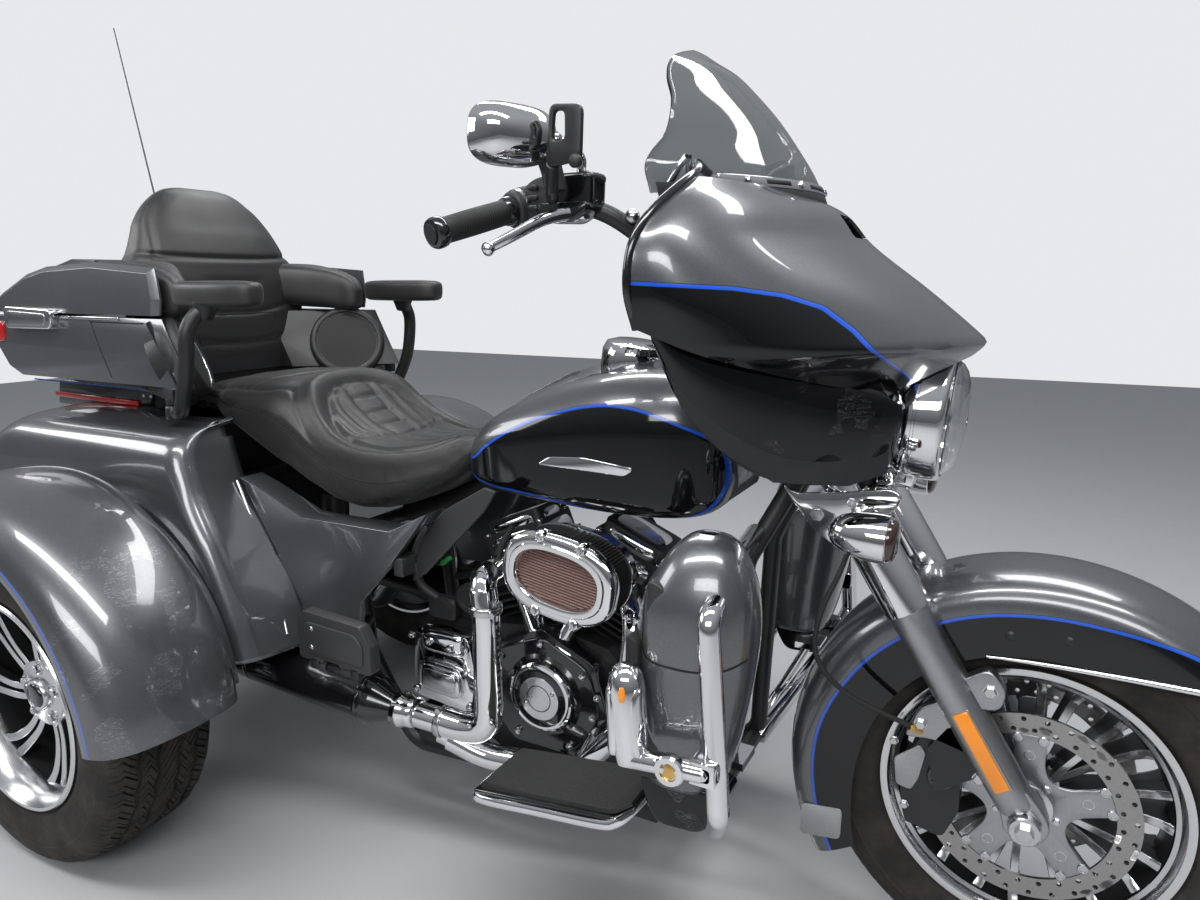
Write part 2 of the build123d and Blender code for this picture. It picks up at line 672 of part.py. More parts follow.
guard = pipe([(1240, -84, 690), (1274, -300, 700), (1282, -404, 668), (1304, -404, 392), (1284, -360, 340),
              (1195, 12 - RAIL_Y, 200)], 26, 16)
guard += block((1272, 1306), (-432, -386), (446, 478))
guard += rod((1285, -424, 462), (1180, -424, 458), 13)
guard += spindle((1180, -424, 446), (1168, -412, 580), [(0, 18), (20, 22), (108, 22), (136, 16)])
guard = keep(clear_of(guard, [frame]))
shield = leg_shield()
save("engine_guard", both(guard))
save("leg_shields", both(keep(clear_of(shield, [guard, frame]))))

# Rider floorboards: curved tray, rubber pad, two hinge lugs to the rail.

board = slab([(872, 266), (1130, 300), (1165, 330), (1165, 342), (1128, 314), (872, 280)], -378, -238)
for k in range(9):
    board += slab([(884 + 27 * k, 272 + 4 * k), (896 + 27 * k, 272 + 4 * k), (896 + 27 * k, 289 + 4 * k),
                   (884 + 27 * k, 287 + 4 * k)], -366, -250)
for x, z in ((900, 268), (1080, 292)):
    board += rod((x, -262, z), (x, -RAIL_Y - 10, 196), 10)
board = keep(clear_of(board, [frame, right_pipes, cases] + covers))
pedal = rod((1188, -RAIL_Y - 6, 226), (1200, -225, 250), 9) + rod((1200, -225, 250), (1262, -232, 372), 8)
pedal += block((1240, 1290), (-262, -205), (372, 384))
save("floorboards", both(board))
save("foot_controls", both(keep(clear_of(pedal, [frame, shield, guard]))))


def passenger_footboard(side):
    x, y, z = FOOT_HINGE
    y *= side
    low, high = sorted((y - 12 * side, y + 12 * side))
    flap = slab([(470, 417), (645, 417), (645, 470), (622, 504), (486, 510), (470, 492)], low, high, 8)
    flap += rod((498, y, z), (602, y, z), 10) + block((498, 602), (y - 6, y + 6), (z, 420))
    flap -= rod((480, y, z), (650, y, z), PIN_R + PIN_PLAY)
    return flap - block((530, 568), (y - 24, y + 24), (380, 422))


flap = passenger_footboard(-1)
save("passenger_footboard_right", flap)
save("passenger_footboard_left", flip(flap))

# Fork: stem, two yokes, stanchions, sliders with axle lugs, chrome covers above the sliders.

def fork_assembly():
    shape = rod((steer_x(770), 0, 770), (steer_x(1000), 0, 1000), 22)
    for z in (845, 940):
        shape += rod((steer_x(z), 0, z), (steer_x(z + 10), 0, z + 10), 28 - PIN_PLAY)
    for z in (765, 988):
        a, b = steer_x(z), fork_x(z)
        shape += deck([(a - 44, -40), (b - 32, -136), (b + 36, -140), (b + 44, -60), (b + 44, 60),
                       (b + 36, 140), (b - 32, 136), (a - 44, 40)], z - 14, z + 14, 12)
    for side in (-1, 1):
        y = side * FORK_Y
        lower = Vector(fork_x(335), y, 335)
        upper = Vector(fork_x(620), y, 620)
        shape += spindle(tuple(lower), tuple(upper), [(0, 28), (40, 30), (300, 30), (336, 33)])
        shape += rod((fork_x(610), y, 610), (fork_x(775), y, 775), 36)
        shape += rod((fork_x(775), y, 775), (fork_x(1002), y, 1002), 24.5)
        low, high = sorted((side * 86, side * 122))
        shape += slab([(-24, 300), (26, 300), (30, 335), (2, 372), (-30, 380), (-34, 340)], low, high, 10)
    shape += rod((0, -146, FRONT_TYRE_R), (0, 146, FRONT_TYRE_R), 11)
    for side in (-1, 1):
        shape += rod((0, side * 76, FRONT_TYRE_R), (0, side * 90, FRONT_TYRE_R), 20)
        shape += rod((0, side * 120, FRONT_TYRE_R), (0, side * 140, FRONT_TYRE_R), 22)
    return shape


fork = fork_assembly()
save_front("fork", fork)

# Fairing. Outer shell sections: z, front x, half width, back x.

FAIRING = [
    (900, -230, 230, -498),
    (960, -165, 320, -498),
    (1005, -118, 385, -500),
    (1080, -204, 412, -504),
    (1150, -294, 404, -498),
    (1200, -340, 350, -480),
    (1230, -398, 292, -466),
]
# share of the depth, share of the half width
WING = [(0, 1), (0.22, 0.97), (0.5, 0.8), (0.75, 0.52), (0.92, 0.28), (1, 0.1)]
LAMP_AXIS = ((-246, 0, 897), (-130, 0, 889))
LAMP_R = 99
LAMP_HOLE = LAMP_R + 4


def wing(z, front, half, back, inset=0, setback=0):
    depth = front - inset - back
    points = [(back - setback, -(half - inset))] + [(back + a * depth, -b * (half - inset)) for a, b in WING]
    points += [(x, -y) for x, y in reversed(points)]
    return make_face(Polyline(*[(x, y, z) for x, y in points], close=True))


def fairing_outer():
    shape = loft([wing(*row, setback=1) for row in FAIRING], ruled=True)
    shape -= loft([wing(*row, inset=SKIN, setback=40) for row in FAIRING[:-1]] +
                  [wing(1225, *FAIRING[-1][1:], inset=SKIN, setback=40)], ruled=True)
    shape -= slab([(-570, 1062), (-493, 1034), (-370, 985), (-236, 932), (-70, 900), (-70, 700), (-570, 700)],
                  -500, 500)
    shape -= rod(LAMP_AXIS[0], (-30, 0, 882), LAMP_HOLE)
    shape -= bulkhead([(-52, 1156), (52, 1156), (42, 1190), (-42, 1190)], -370, -210)
    return shape


def fairing_inner(outer, bars):
    filled = loft([wing(*row, inset=SKIN, setback=40) for row in FAIRING], ruled=True)
    dash = filled & block((-466, -456), (-500, 500), (1046, 1218))
    for y, z, r in ((-60, 1150, 46), (60, 1150, 46), (-150, 1165, 26), (150, 1165, 26)):
        dash += rod((-482, y, z), (-464, y, z), r) - rod((-490, y, z), (-478, y, z), r - 5)
    dash += block((-484, -464), (-80, 80), (1062, 1100))
    for side in (-1, 1):
        dash += rod((-480, side * 290, 1110), (-464, side * 290, 1110), 66)
        dash += block((-458, -370), (side * 95 - 10, side * 95 + 10), (1002, 1070))
    return clear_of(dash, [outer, fork] + bars)


SKIRT = [(-492, 345), (-430, 298), (-350, 226), (-278, 172), (-224, 120)]


def fairing_skirt(outer):
    band = deck([(x, -y) for x, y in SKIRT] + [(x - 6, -y + 7) for x, y in reversed(SKIRT)], 780, 1060)
    face = slab([(-500, 1048), (-493, 1042), (-370, 994), (-236, 940), (-210, 905), (-220, 822), (-270, 806),
                 (-359, 816), (-420, 868), (-465, 930), (-490, 1005)], -420, -100)
    return keep((band & face) + rod((-386, -128, 988), (-358, -228, 960), 8) - outer - fork)


def headlight():
    a, b = LAMP_AXIS
    shape = spindle(a, b, [(0, 56), (8, 78), (22, 92), (38, LAMP_R), (84, LAMP_R), (88, 93), (104, 72),
                           (113, 40)])
    shape += block((-256, -200), (-30, 30), (779, 850))
    return shape - fork


SCREEN = [  # z, x at the middle, half width, bow
    (1212, -368, 280, 165),
    (1256, -387, 284, 152),
    (1304, -417, 228, 118),
    (1350, -451, 200, 88),
    (1389, -486, 174, 72),
    (1420, -518, 144, 48),
    (1438, -546, 98, 22),
    (1452, -566, 46, 5),
]


def bow(z, middle, half, depth):
    front = ThreePointArc((middle - depth, -half, z), (middle, 0, z), (middle - depth, half, z))
    rear = ThreePointArc((middle - depth - 5, half, z), (middle - 5, 0, z), (middle - depth - 5, -half, z))
    return make_face([front, Line(front @ 1, rear @ 0), rear, Line(rear @ 1, front @ 0)])


# Handlebar with grips, switch housings, master cylinders and levers.

GRIP = [(0, 18), (8, 20), (20, 17), (122, 17.5), (126, 21), (142, 20)]


def handlebar():
    bar = pipe([(-408, -50, 1002), (-420, -60, 1050), (-520, -190, 1110), (-610, -262, 1196),
                (-720, -285, 1206), (-777, -458, 1156)], 28, 13)
    bar += spindle((-734, -322, 1196), (-777, -458, 1156), GRIP)
    bar += rod((-720, -284, 1206), (-736, -326, 1194), 27)
    bar += slab([(-725, 1178), (-670, 1185), (-640, 1215), (-650, 1244), (-705, 1234), (-730, 1208)],
                -320, -268, 8)
    bar += block((-685, -610), (-312, -262), (1200, 1242))
    bar += pipe([(-640, -300, 1196), (-656, -352, 1180), (-688, -396, 1153), (-708, -420, 1138)], 20, 7)
    bar += Pos(-709, -421, 1137) * Sphere(9)
    bar = bar + flip(bar)
    bar += rod((-418, -64, 1036), (-418, 64, 1036), 14)
    return bar - fork


def mirror_head():
    face = Plane(origin=(-684, -400, 1284), x_dir=(-0.38, -0.92, 0), z_dir=(-0.9, 0.37, 0.12))
    shell = loft([face * RectangleRounded(124, 80, 39), face.offset(-28) * RectangleRounded(114, 70, 34),
                  face.offset(-48) * RectangleRounded(78, 42, 20)], ruled=True)
    return shell + pipe([(-650, -292, 1232), (-620, -310, 1262), (-656, -370, 1287)], 16, 6.5)


outer = fairing_outer()
bars = handlebar()
lamp = headlight()
dash = fairing_inner(outer, [bars])
skirts = [clear_of(s, [lamp]) for s in both(fairing_skirt(outer))]
save_front("fairing_outer", outer - lamp)
save_front("fairing_inner", dash, skirts)
save_front("headlight", lamp)
save_front("windshield", keep(loft([bow(*row) for row in SCREEN], ruled=True) - outer - dash))
save_front("handlebar", bars)
save_front("mirrors", both(keep(mirror_head() - bars)))

# Front fender: crown with deep side skirts, cut to its front and rear edges.

FRONT_FENDER = [(-90, 252), (-90, 322), (-78, 344), (-52, 358), (0, 364), (52, 358), (78, 344), (90, 322),
                (90, 252)]


def front_fender():
    inside = [(y * 0.945, r - (4 if r > 300 else 0)) for y, r in FRONT_FENDER]
    shape = turned(FRONT_FENDER + list(reversed(inside)), front_hub, 178, 32)
    nose = slab([(30, 500), (180, 560), (430, 560), (430, 300), (30, 300)], -120, 120)
    return shape - nose - fork


save_front("front_fender", front_fender())


def brake_caliper():
    shape = slab([(-170, 420), (-200, 380), (-200, 300), (-170, 262), (-110, 250), (-90, 300), (-92, 400),
                  (-125, 440)], -DISC_Y - 34, -DISC_Y + 20, 12)
    shape &= rod((0, -120, FRONT_TYRE_R), (0, -40, FRONT_TYRE_R), DISC_R + 25)
    shape -= rod((0, -DISC_Y - 6, FRONT_TYRE_R), (0, -DISC_Y + 7, FRONT_TYRE_R), DISC_R + 6)
    shape += slab([(-125, 330), (-30, 400), (-70, 460), (-115, 440), (-140, 400)], -112, -90)
    return shape - fork


save_front("calipers", both(keep(brake_caliper())))

signal = rod((-265, -112, 765), (-240, -205, 752), 9)
signal += spindle((-282, -212, 752), (-195, -212, 748), [(0, 12), (26, 26), (52, 32), (78, 33), (82, 29)])
save_front("turn_signals", both(keep(signal - fork)))
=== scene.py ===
import bmesh
import bpy
import json
import math
import numpy as np
import random
from mathutils import Matrix, Vector
from mathutils.bvhtree import BVHTree


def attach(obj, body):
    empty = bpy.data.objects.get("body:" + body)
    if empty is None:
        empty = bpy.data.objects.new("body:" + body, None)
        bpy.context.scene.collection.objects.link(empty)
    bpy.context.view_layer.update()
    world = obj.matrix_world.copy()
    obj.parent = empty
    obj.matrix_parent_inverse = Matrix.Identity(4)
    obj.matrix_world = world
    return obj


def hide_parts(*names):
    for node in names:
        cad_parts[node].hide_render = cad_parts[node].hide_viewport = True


# Looks of the motorized trike, built round its CAD frame.
# Points are written in millimetres from the floor under the rear axle: X forward, Y left, Z up.

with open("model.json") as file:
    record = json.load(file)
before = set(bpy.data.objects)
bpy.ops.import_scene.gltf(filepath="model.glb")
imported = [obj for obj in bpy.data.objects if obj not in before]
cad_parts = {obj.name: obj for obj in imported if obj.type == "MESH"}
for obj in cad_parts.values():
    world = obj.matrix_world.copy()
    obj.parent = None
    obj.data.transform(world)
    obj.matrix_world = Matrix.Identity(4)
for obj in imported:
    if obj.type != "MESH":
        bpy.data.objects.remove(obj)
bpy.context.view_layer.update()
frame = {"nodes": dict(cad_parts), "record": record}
nodes = frame["nodes"]
random.seed(7)
axleX = 616  # rear axle to the frame's origin
wheelbase = 1670
frontHub, rearHub = 320, 324  # heights of the wheel centres
rearTrack = 535  # rear wheel to the middle
frontCentre = (wheelbase, 0, frontHub)
print("stage: frame loaded")


def at(x, y, z):
    return Vector(((x - axleX) / 1000, y / 1000, z / 1000))


# smooth line through the points, with steps runs between each two
def smoothLine(points, steps, loop=False):
    count = len(points)
    out = []
    for i in range(count if loop else count - 1):
        b, c = points[i], points[(i + 1) % count]
        a = points[i - 1] if loop or i else [2 * p - q for p, q in zip(b, c)]
        d = points[(i + 2) % count] if loop or i + 2 < count else [2 * q - p for p, q in zip(b, c)]
        for s in range(steps):
            t = s / steps
            out.append(tuple(0.5 * (2 * q + (r - p) * t + (2 * p - 5 * q + 4 * r - u)
                * t * t + (3 * q - p - 3 * r + u) * t ** 3) for p, q, r, u in zip(a, b, c, d)))
    if not loop:
        out.append(tuple(points[-1]))
    return out


# value at place along a table of (place, value, value ...) rows, smooth between them
def readTable(table, place):
    if place <= table[0][0]:
        return list(table[0][1:])
    for i in range(len(table) - 1):
        low, high = table[i], table[i + 1]
        if place <= high[0]:
            before = table[i - 1] if i else low
            after = table[i + 2] if i + 2 < len(table) else high
            span = high[0] - low[0]
            t = (place - low[0]) / span
            out = []
            for k in range(1, len(low)):
                m0 = (high[k] - before[k]) / (high[0] - before[0]) * span
                m1 = (after[k] - low[k]) / (after[0] - low[0]) * span
                out.append((2 * t ** 3 - 3 * t * t + 1) * low[k]
                    + (t ** 3 - 2 * t * t + t) * m0 + (3 * t * t - 2 * t ** 3) * high[k] + (t ** 3 - t * t) * m1)
            return out
    return list(table[-1][1:])


# Shapes are (points, faces) pairs; a piece is made from a list of them.

def grid(rows, loop=False, capped=False):
    wide = len(rows[0])
    faces = []
    for i in range(len(rows) - 1):
        for j in range(wide if loop else wide - 1):
            k = (j + 1) % wide
            faces.append((i * wide + j, i * wide + k, (i + 1) * wide + k, (i + 1) * wide + j))
    if capped:
        faces.append(tuple(range(wide)))
        faces.append(tuple(range((len(rows) - 1) * wide, len(rows) * wide)))
    return [tuple(p) for row in rows for p in row], faces


def flipped(shape):
    return [(x, -y, z) for x, y, z in shape[0]], shape[1]


def both(shapes):
    return shapes + [flipped(s) for s in shapes]


def fullTurn(count):
    return [2 * math.pi * k / count for k in range(count)]


def axes(direction):
    d = Vector(direction).normalized()
    side = d.cross(Vector((0, 0, 1)))
    if side.length < 0.05:
        side = d.cross(Vector((0, 1, 0)))
    side.normalize()
    return d, side, side.cross(d).normalized()


# round shape turned about the line from place; steps are (distance along it, radius)
def turned(place, direction, steps, count=28, capped=True):
    d, u, v = axes(direction)
    start = Vector(place)
    rows = []
    for along, radius in steps:
        ring = [start + d * along + (u * math.cos(a) + v * math.sin(a)) * max(radius, 0.01) for a in fullTurn(count)]
        rows.append([tuple(p) for p in ring])
    return grid(rows, loop=True, capped=capped and tuple(steps[0]) != tuple(steps[-1]))


# outline pulled along one axis: "y" takes (x, z) points, "z" takes (x, y), "x" takes (y, z)
def slab(outline, low, high, along="y"):
    def place(p, q):
        return (p[0], q, p[1]) if along == "y" else (p[0], p[1], q) if along == "z" else (q, p[0], p[1])
    return grid([[place(p, q) for p in outline] for q in (low, high)], loop=True, capped=True)


def roundedBox(centre, size, radius=0, x=(1, 0, 0)):
    across, deep = Vector(x).normalized(), Vector((0, 1, 0))
    up = across.cross(deep)
    a, b, c = size[0] / 2, size[1] / 2, size[2] / 2
    ring = [(-a, -c), (a, -c), (a, c), (-a, c)]
    if radius:
        ring = roundedCorners(ring, radius)
    middle = Vector(centre)
    rows = [[tuple(middle + across * p + up * q + deep * s) for p, q in ring] for s in (-b, b)]
    return grid(rows, loop=True, capped=True)


def roundedCorners(points, radius, steps=4):
    out = []
    count = len(points)
    for i in range(count):
        a, b, c = Vector(points[i - 1]), Vector(points[i]), Vector(points[(i + 1) % count])
        r = min(radius, (a - b).length * 0.48, (c - b).length * 0.48)
        p, q = b + (a - b).normalized() * r, b + (c - b).normalized() * r
        for s in range(steps + 1):
            t = s / steps
            out.append(tuple(p * (1 - t) ** 2 + b * 2 * t * (1 - t) + q * t * t))
    return out


# tube of round or oval section along a smooth line
def tube(points, radius, steps=6, sides=14, oval=1.0, taper=None):
    line = [Vector(p) for p in smoothLine(points, steps)]
    rows = []
    up = None
    for i, p in enumerate(line):
        d = (line[min(i + 1, len(line) - 1)] - line[max(i - 1, 0)]).normalized()
        if up is None:
            up = axes(d)[2]
        up = (up - d * up.dot(d)).normalized()
        side = d.cross(up)
        r = radius * (taper[0] + (taper[1] - taper[0]) * i / (len(line) - 1) if taper else 1)
        rows.append([tuple(p + (side * math.cos(a) * oval + up * math.sin(a)) * r) for a in fullTurn(sides)])
    return grid(rows, loop=True, capped=True)


def piece(name, shapes, looks, body, bevel=0, levels=0, thick=0, sharp=38, segments=2):
    points, faces = [], []
    for verts, polys in shapes:
        base = len(points)
        points += [at(*p) for p in verts]
        faces += [tuple(i + base for i in poly) for poly in polys]
    mesh = bpy.data.meshes.new(name)
    mesh.from_pydata(points, [], faces)
    looks = looks if isinstance(looks, (list, tuple)) else [looks]
    for mat in looks:
        mesh.materials.append(mat)
    bm = bmesh.new()
    bm.from_mesh(mesh)
    bmesh.ops.remove_doubles(bm, verts=bm.verts, dist=2e-5)
    bmesh.ops.dissolve_degenerate(bm, edges=bm.edges, dist=1e-6)
    bmesh.ops.recalc_face_normals(bm, faces=bm.faces)
    bm.to_mesh(mesh)
    bm.free()
    obj = bpy.data.objects.new(name, mesh)
    bpy.context.scene.collection.objects.link(obj)
    if thick:
        shell = obj.modifiers.new("thickness", "SOLIDIFY")
        shell.thickness = thick / 1000
        shell.offset = -1  # inward
    if bevel:
        soft = obj.modifiers.new("edges", "BEVEL")
        soft.width = bevel / 1000
        soft.segments = segments
        soft.limit_method = "ANGLE"
        soft.angle_limit = math.radians(32)
    if levels:
        sub = obj.modifiers.new("smooth", "SUBSURF")
        sub.levels = sub.render_levels = levels
    smoothen(mesh, 180 if bevel or levels else sharp)
    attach(obj, body)
    return obj


def smoothen(mesh, angle):
    mesh.polygons.foreach_set("use_smooth", [True] * len(mesh.polygons))
    if angle < 180:
        mesh.set_sharp_from_angle(angle=math.radians(angle))


# copy of a CAD node with joined corners and soft edges, standing for it
def softened(node, looks, width, angle=34, segments=2):
    source = nodes[node]
    mesh = source.data.copy()
    mesh.name = node + "_soft"
    mesh.materials.clear()
    for mat in looks if isinstance(looks, (list, tuple)) else [looks]:
        mesh.materials.append(mat)
    bm = bmesh.new()
    bm.from_mesh(mesh)
    for face in bm.faces:
        face.material_index = 0
    bmesh.ops.remove_doubles(bm, verts=bm.verts, dist=2e-5)
    bmesh.ops.dissolve_limit(bm, angle_limit=math.radians(0.6), verts=bm.verts, edges=bm.edges)
    bm.to_mesh(mesh)
    bm.free()
    obj = bpy.data.objects.new(node + "_soft", mesh)
    bpy.context.scene.collection.objects.link(obj)
    soft = obj.modifiers.new("edges", "BEVEL")
    soft.width = width / 1000
    soft.segments = segments
    soft.limit_method = "ANGLE"
    soft.angle_limit = math.radians(angle)
    soft.harden_normals = True
    smoothen(mesh, 180)
    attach(obj, bodyOf[node])
    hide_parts(node)
    return obj


# mesh of an object with its modifiers applied, as a search tree
def surfaceOf(*objs):
    depsgraph = bpy.context.evaluated_depsgraph_get()
    points, faces = [], []
    for obj in objs:
        mesh = obj.evaluated_get(depsgraph).to_mesh()
        base = len(points)
        points += [v.co.copy() for v in mesh.vertices]
        faces += [tuple(i + base for i in p.vertices) for p in mesh.polygons]
    return BVHTree.FromPolygons(points, faces)


# thin painted or sewn line laid on a surface, seen from the side that look points to
def laidLine(tree, points, width, lift=0.35, look=(0, 1, 0), steps=8, reach=90):
    line = [at(*p) for p in smoothLine(points, steps)]
    way = Vector(look).normalized()
    hits = []
    for p in line:
        spot, normal, _, _ = tree.ray_cast(p - way * reach / 1000, way, reach * 2 / 1000)
        if spot is not None:
            hits.append((spot, normal if normal.dot(way) < 0 else -normal))
    left, right = [], []
    for i, (spot, normal) in enumerate(hits):
        run = hits[min(i + 1, len(hits) - 1)][0] - hits[max(i - 1, 0)][0]
        if run.length < 1e-7:
            continue
        side = run.normalized().cross(normal).normalized() * width / 2000
        raised = spot + normal * lift / 1000
        left.append(back(raised + side))
        right.append(back(raised - side))
    return grid([left, right])


def back(point):
    return (point.x * 1000 + axleX, point.y * 1000, point.z * 1000)


bodyOf = {name: body for body, names in frame["record"]["behaviour"]["bodies"].items() for name in names}


# Finishes. Each is a node material in the object's own coordinates.

def newFinish(name):
    mat = bpy.data.materials.new(name)
    mat.use_nodes = True
    tree = mat.node_tree
    return mat, tree, tree.nodes["Principled BSDF"]


def addNode(tree, kind, inputs=(), **settings):
    made = tree.nodes.new(kind)
    for key, value in settings.items():
        setattr(made, key, value)
    for key, value in dict(inputs).items():
        if isinstance(value, bpy.types.NodeSocket):
            tree.links.new(value, made.inputs[key])
        else:
            made.inputs[key].default_value = value
    return made


def colourMix(tree, factor, a, b):
    made = addNode(tree, "ShaderNodeMix", data_type="RGBA")
    for socket, value in ((made.inputs[0], factor), (made.inputs[6], a), (made.inputs[7], b)):
        if isinstance(value, bpy.types.NodeSocket):
            tree.links.new(value, socket)
        elif isinstance(value, (int, float)):
            socket.default_value = value
        else:
            socket.default_value = (*value[:3], 1)
    return made.outputs[2]


def calc(tree, how, a, b=0.0):
    made = addNode(tree, "ShaderNodeMath", operation=how)
    for socket, value in ((made.inputs[0], a), (made.inputs[1], b)):
        if isinstance(value, bpy.types.NodeSocket):
            tree.links.new(value, socket)
        else:
            socket.default_value = value
    return made.outputs[0]


def ramp(tree, value, low, high):
    made = addNode(tree, "ShaderNodeMapRange", {"Value": value, "From Min": low, "From Max": high})
    return made.outputs["Result"]


def noise(tree, place, scale, detail=3.0, rough=0.5):
    return addNode(tree,
        "ShaderNodeTexNoise", {"Vector": place, "Scale": scale, "Detail": detail, "Roughness": rough}).outputs["Fac"]


def ownPlace(tree):
    return addNode(tree, "ShaderNodeTexCoord").outputs["Object"]


def bumpInto(tree, bsdf, height, strength, depth):
    lift = addNode(tree, "ShaderNodeBump", {"Strength": strength, "Distance": depth / 1000, "Height": height})
    tree.links.new(lift.outputs["Normal"], bsdf.inputs["Normal"])


def setSockets(bsdf, **values):
    for key, value in values.items():
        bsdf.inputs[key.replace("_", " ")].default_value = value


# gloss or satin finish with slow colour variation, smudged shine and fine grain
def finish(name, colour, rough=0.5, metal=0.0, coat=0.0, vary=0.1, grain=0.0, grainScale=300.0, smudge=0.05):
    mat, tree, bsdf = newFinish(name)
    place = ownPlace(tree)
    slow = noise(tree, place, 9, 4)
    dark = [c * (1 - vary) for c in colour]
    light = [min(1, c * (1 + vary)) for c in colour]
    tree.links.new(colourMix(tree, slow, dark, light), bsdf.inputs["Base Color"])
    spread = addNode(tree, "ShaderNodeMapRange", {"Value": noise(tree, place, 28, 5, 0.6),
        "From Min": 0.35, "From Max": 0.7, "To Min": max(0, rough - smudge / 2), "To Max": rough + smudge})
    tree.links.new(spread.outputs["Result"], bsdf.inputs["Roughness"])
    setSockets(bsdf, Metallic=metal, Coat_Weight=coat, Coat_Roughness=0.03)
    if grain:
        bumpInto(tree, bsdf, noise(tree, place, grainScale, 3), grain, 0.4)
    return mat


paintChoice = {
    "grey": (0.115, 0.118, 0.124),
    "flake": 2600,  # cells across a metre
    "flakeSpread": 0.34,
    "metal": 0.72,
    "rough": 0.30,
    "black": (0.0035, 0.0035, 0.0042),
    "stripe": (0.012, 0.085, 0.52),
    "scuff": (0.62, 0.63, 0.64),
}


# scuffs: short pale strokes inside a few round patches, given (centre in mm, radius in mm)
def scuffMask(tree, place, patches):
    total = None
    for centre, radius in patches:
        gap = addNode(tree, "ShaderNodeVectorMath", {0: place, 1: at(*centre)}, operation="DISTANCE").outputs["Value"]
        near = addNode(tree, "ShaderNodeMapRange", {"Value": gap, "From Min": radius / 1000, "From Max": radius / 1600})
        total = near.outputs["Result"] if total is None else calc(tree, "MAXIMUM", total, near.outputs["Result"])
    strokes = None
    for turn, scale in ((0.5, 26), (-0.7, 34), (1.35, 30)):
        lay = addNode(tree,
            "ShaderNodeMapping", {"Vector": place, "Rotation": (0.3, turn, 0.2), "Scale": (1, 1, 16)}).outputs["Vector"]
        line = calc(tree, "ABSOLUTE", calc(tree, "SUBTRACT", noise(tree, lay, scale, 2, 0.55), 0.5))
        thin = calc(tree, "LESS_THAN", line, 0.0022)
        strokes = thin if strokes is None else calc(tree, "MAXIMUM", strokes, thin)
    broken = calc(tree, "GREATER_THAN", noise(tree, place, 17, 2), 0.56)
    return calc(tree, "MULTIPLY", calc(tree, "MULTIPLY", strokes, broken), total)


def greyPaint(name, patches=()):
    mat, tree, bsdf = newFinish(name)
    place = ownPlace(tree)
    cells = addNode(tree, "ShaderNodeTexVoronoi", {"Vector": place, "Scale": paintChoice["flake"]}).outputs["Color"]
    spread = paintChoice["flakeSpread"]
    colour = colourMix(tree,
        cells, [c * (1 - spread) for c in paintChoice["grey"]], [c * (1 + 1.6 * spread) for c in paintChoice["grey"]])
    film = ramp(tree, noise(tree, place, 6, 6, 0.62), 0.5, 0.85)  # settled dust
    colour = colourMix(tree, calc(tree, "MULTIPLY", film, 0.10), colour, (0.32, 0.32, 0.31))
    bsdf.inputs["Metallic"].default_value = paintChoice["metal"]
    if patches:
        mask = scuffMask(tree, place, patches)
        colour = colourMix(tree, mask, colour, paintChoice["scuff"])
    tree.links.new(colour, bsdf.inputs["Base Color"])
    rough = calc(tree, "ADD", calc(tree, "MULTIPLY", noise(tree, place, 14, 4), 0.08), paintChoice["rough"] - 0.04)
    tree.links.new(rough, bsdf.inputs["Roughness"])
    setSockets(bsdf, Coat_Weight=1.0, Coat_Roughness=0.02)
    bumpInto(tree, bsdf, noise(tree, place, 120, 2), 0.04, 0.3)
    return mat


def blackPaint(name, patches=()):
    mat, tree, bsdf = newFinish(name)
    place = ownPlace(tree)
    film = ramp(tree, noise(tree, place, 7, 7, 0.65), 0.55, 0.9)
    colour = colourMix(tree, calc(tree, "MULTIPLY", film, 0.05), paintChoice["black"], (0.2, 0.2, 0.2))
    if patches:
        colour = colourMix(tree, scuffMask(tree, place, patches), colour, (0.25, 0.25, 0.26))
    tree.links.new(colour, bsdf.inputs["Base Color"])
    tree.links.new(ramp(tree, noise(tree, place, 22, 5), -0.8, 15.0), bsdf.inputs["Roughness"])
    setSockets(bsdf, Coat_Weight=0.1, Coat_Roughness=0.02, Specular_IOR_Level=0.4)
    return mat


leatherChoice = {"colour": (0.0125, 0.0122, 0.0125), "grainScale": 520, "rough": 0.42, "crease": 14}


def leatherFinish(name, worn=0.15):
    mat, tree, bsdf = newFinish(name)
    place = ownPlace(tree)
    slow = noise(tree, place, 7, 5, 0.6)
    base = leatherChoice["colour"]
    tree.links.new(colourMix(tree, slow, [c * 0.7 for c in base], [c * (1.3 + worn) for c in base]),
        bsdf.inputs["Base Color"])
    cells = addNode(tree, "ShaderNodeTexVoronoi",
        {"Vector": place, "Scale": leatherChoice["grainScale"]}, feature="DISTANCE_TO_EDGE").outputs["Distance"]
    pebble = ramp(tree, cells, 0.0, 0.25)
    wrinkle = noise(tree, place, leatherChoice["crease"], 5, 0.65)
    height = calc(tree, "ADD", calc(tree, "MULTIPLY", pebble, 0.35), calc(tree, "MULTIPLY", wrinkle, 1.4))
    bumpInto(tree, bsdf, height, 0.5, 0.45)
    shine = addNode(tree, "ShaderNodeMapRange", {"Value": slow, "From Min": 0.3,
        "From Max": 0.7, "To Min": leatherChoice["rough"] + 0.08, "To Max": leatherChoice["rough"] - 0.06})
    tree.links.new(shine.outputs["Result"], bsdf.inputs["Roughness"])
    setSockets(bsdf, Sheen_Weight=0.12, Sheen_Roughness=0.4, Specular_IOR_Level=0.55)
    return mat


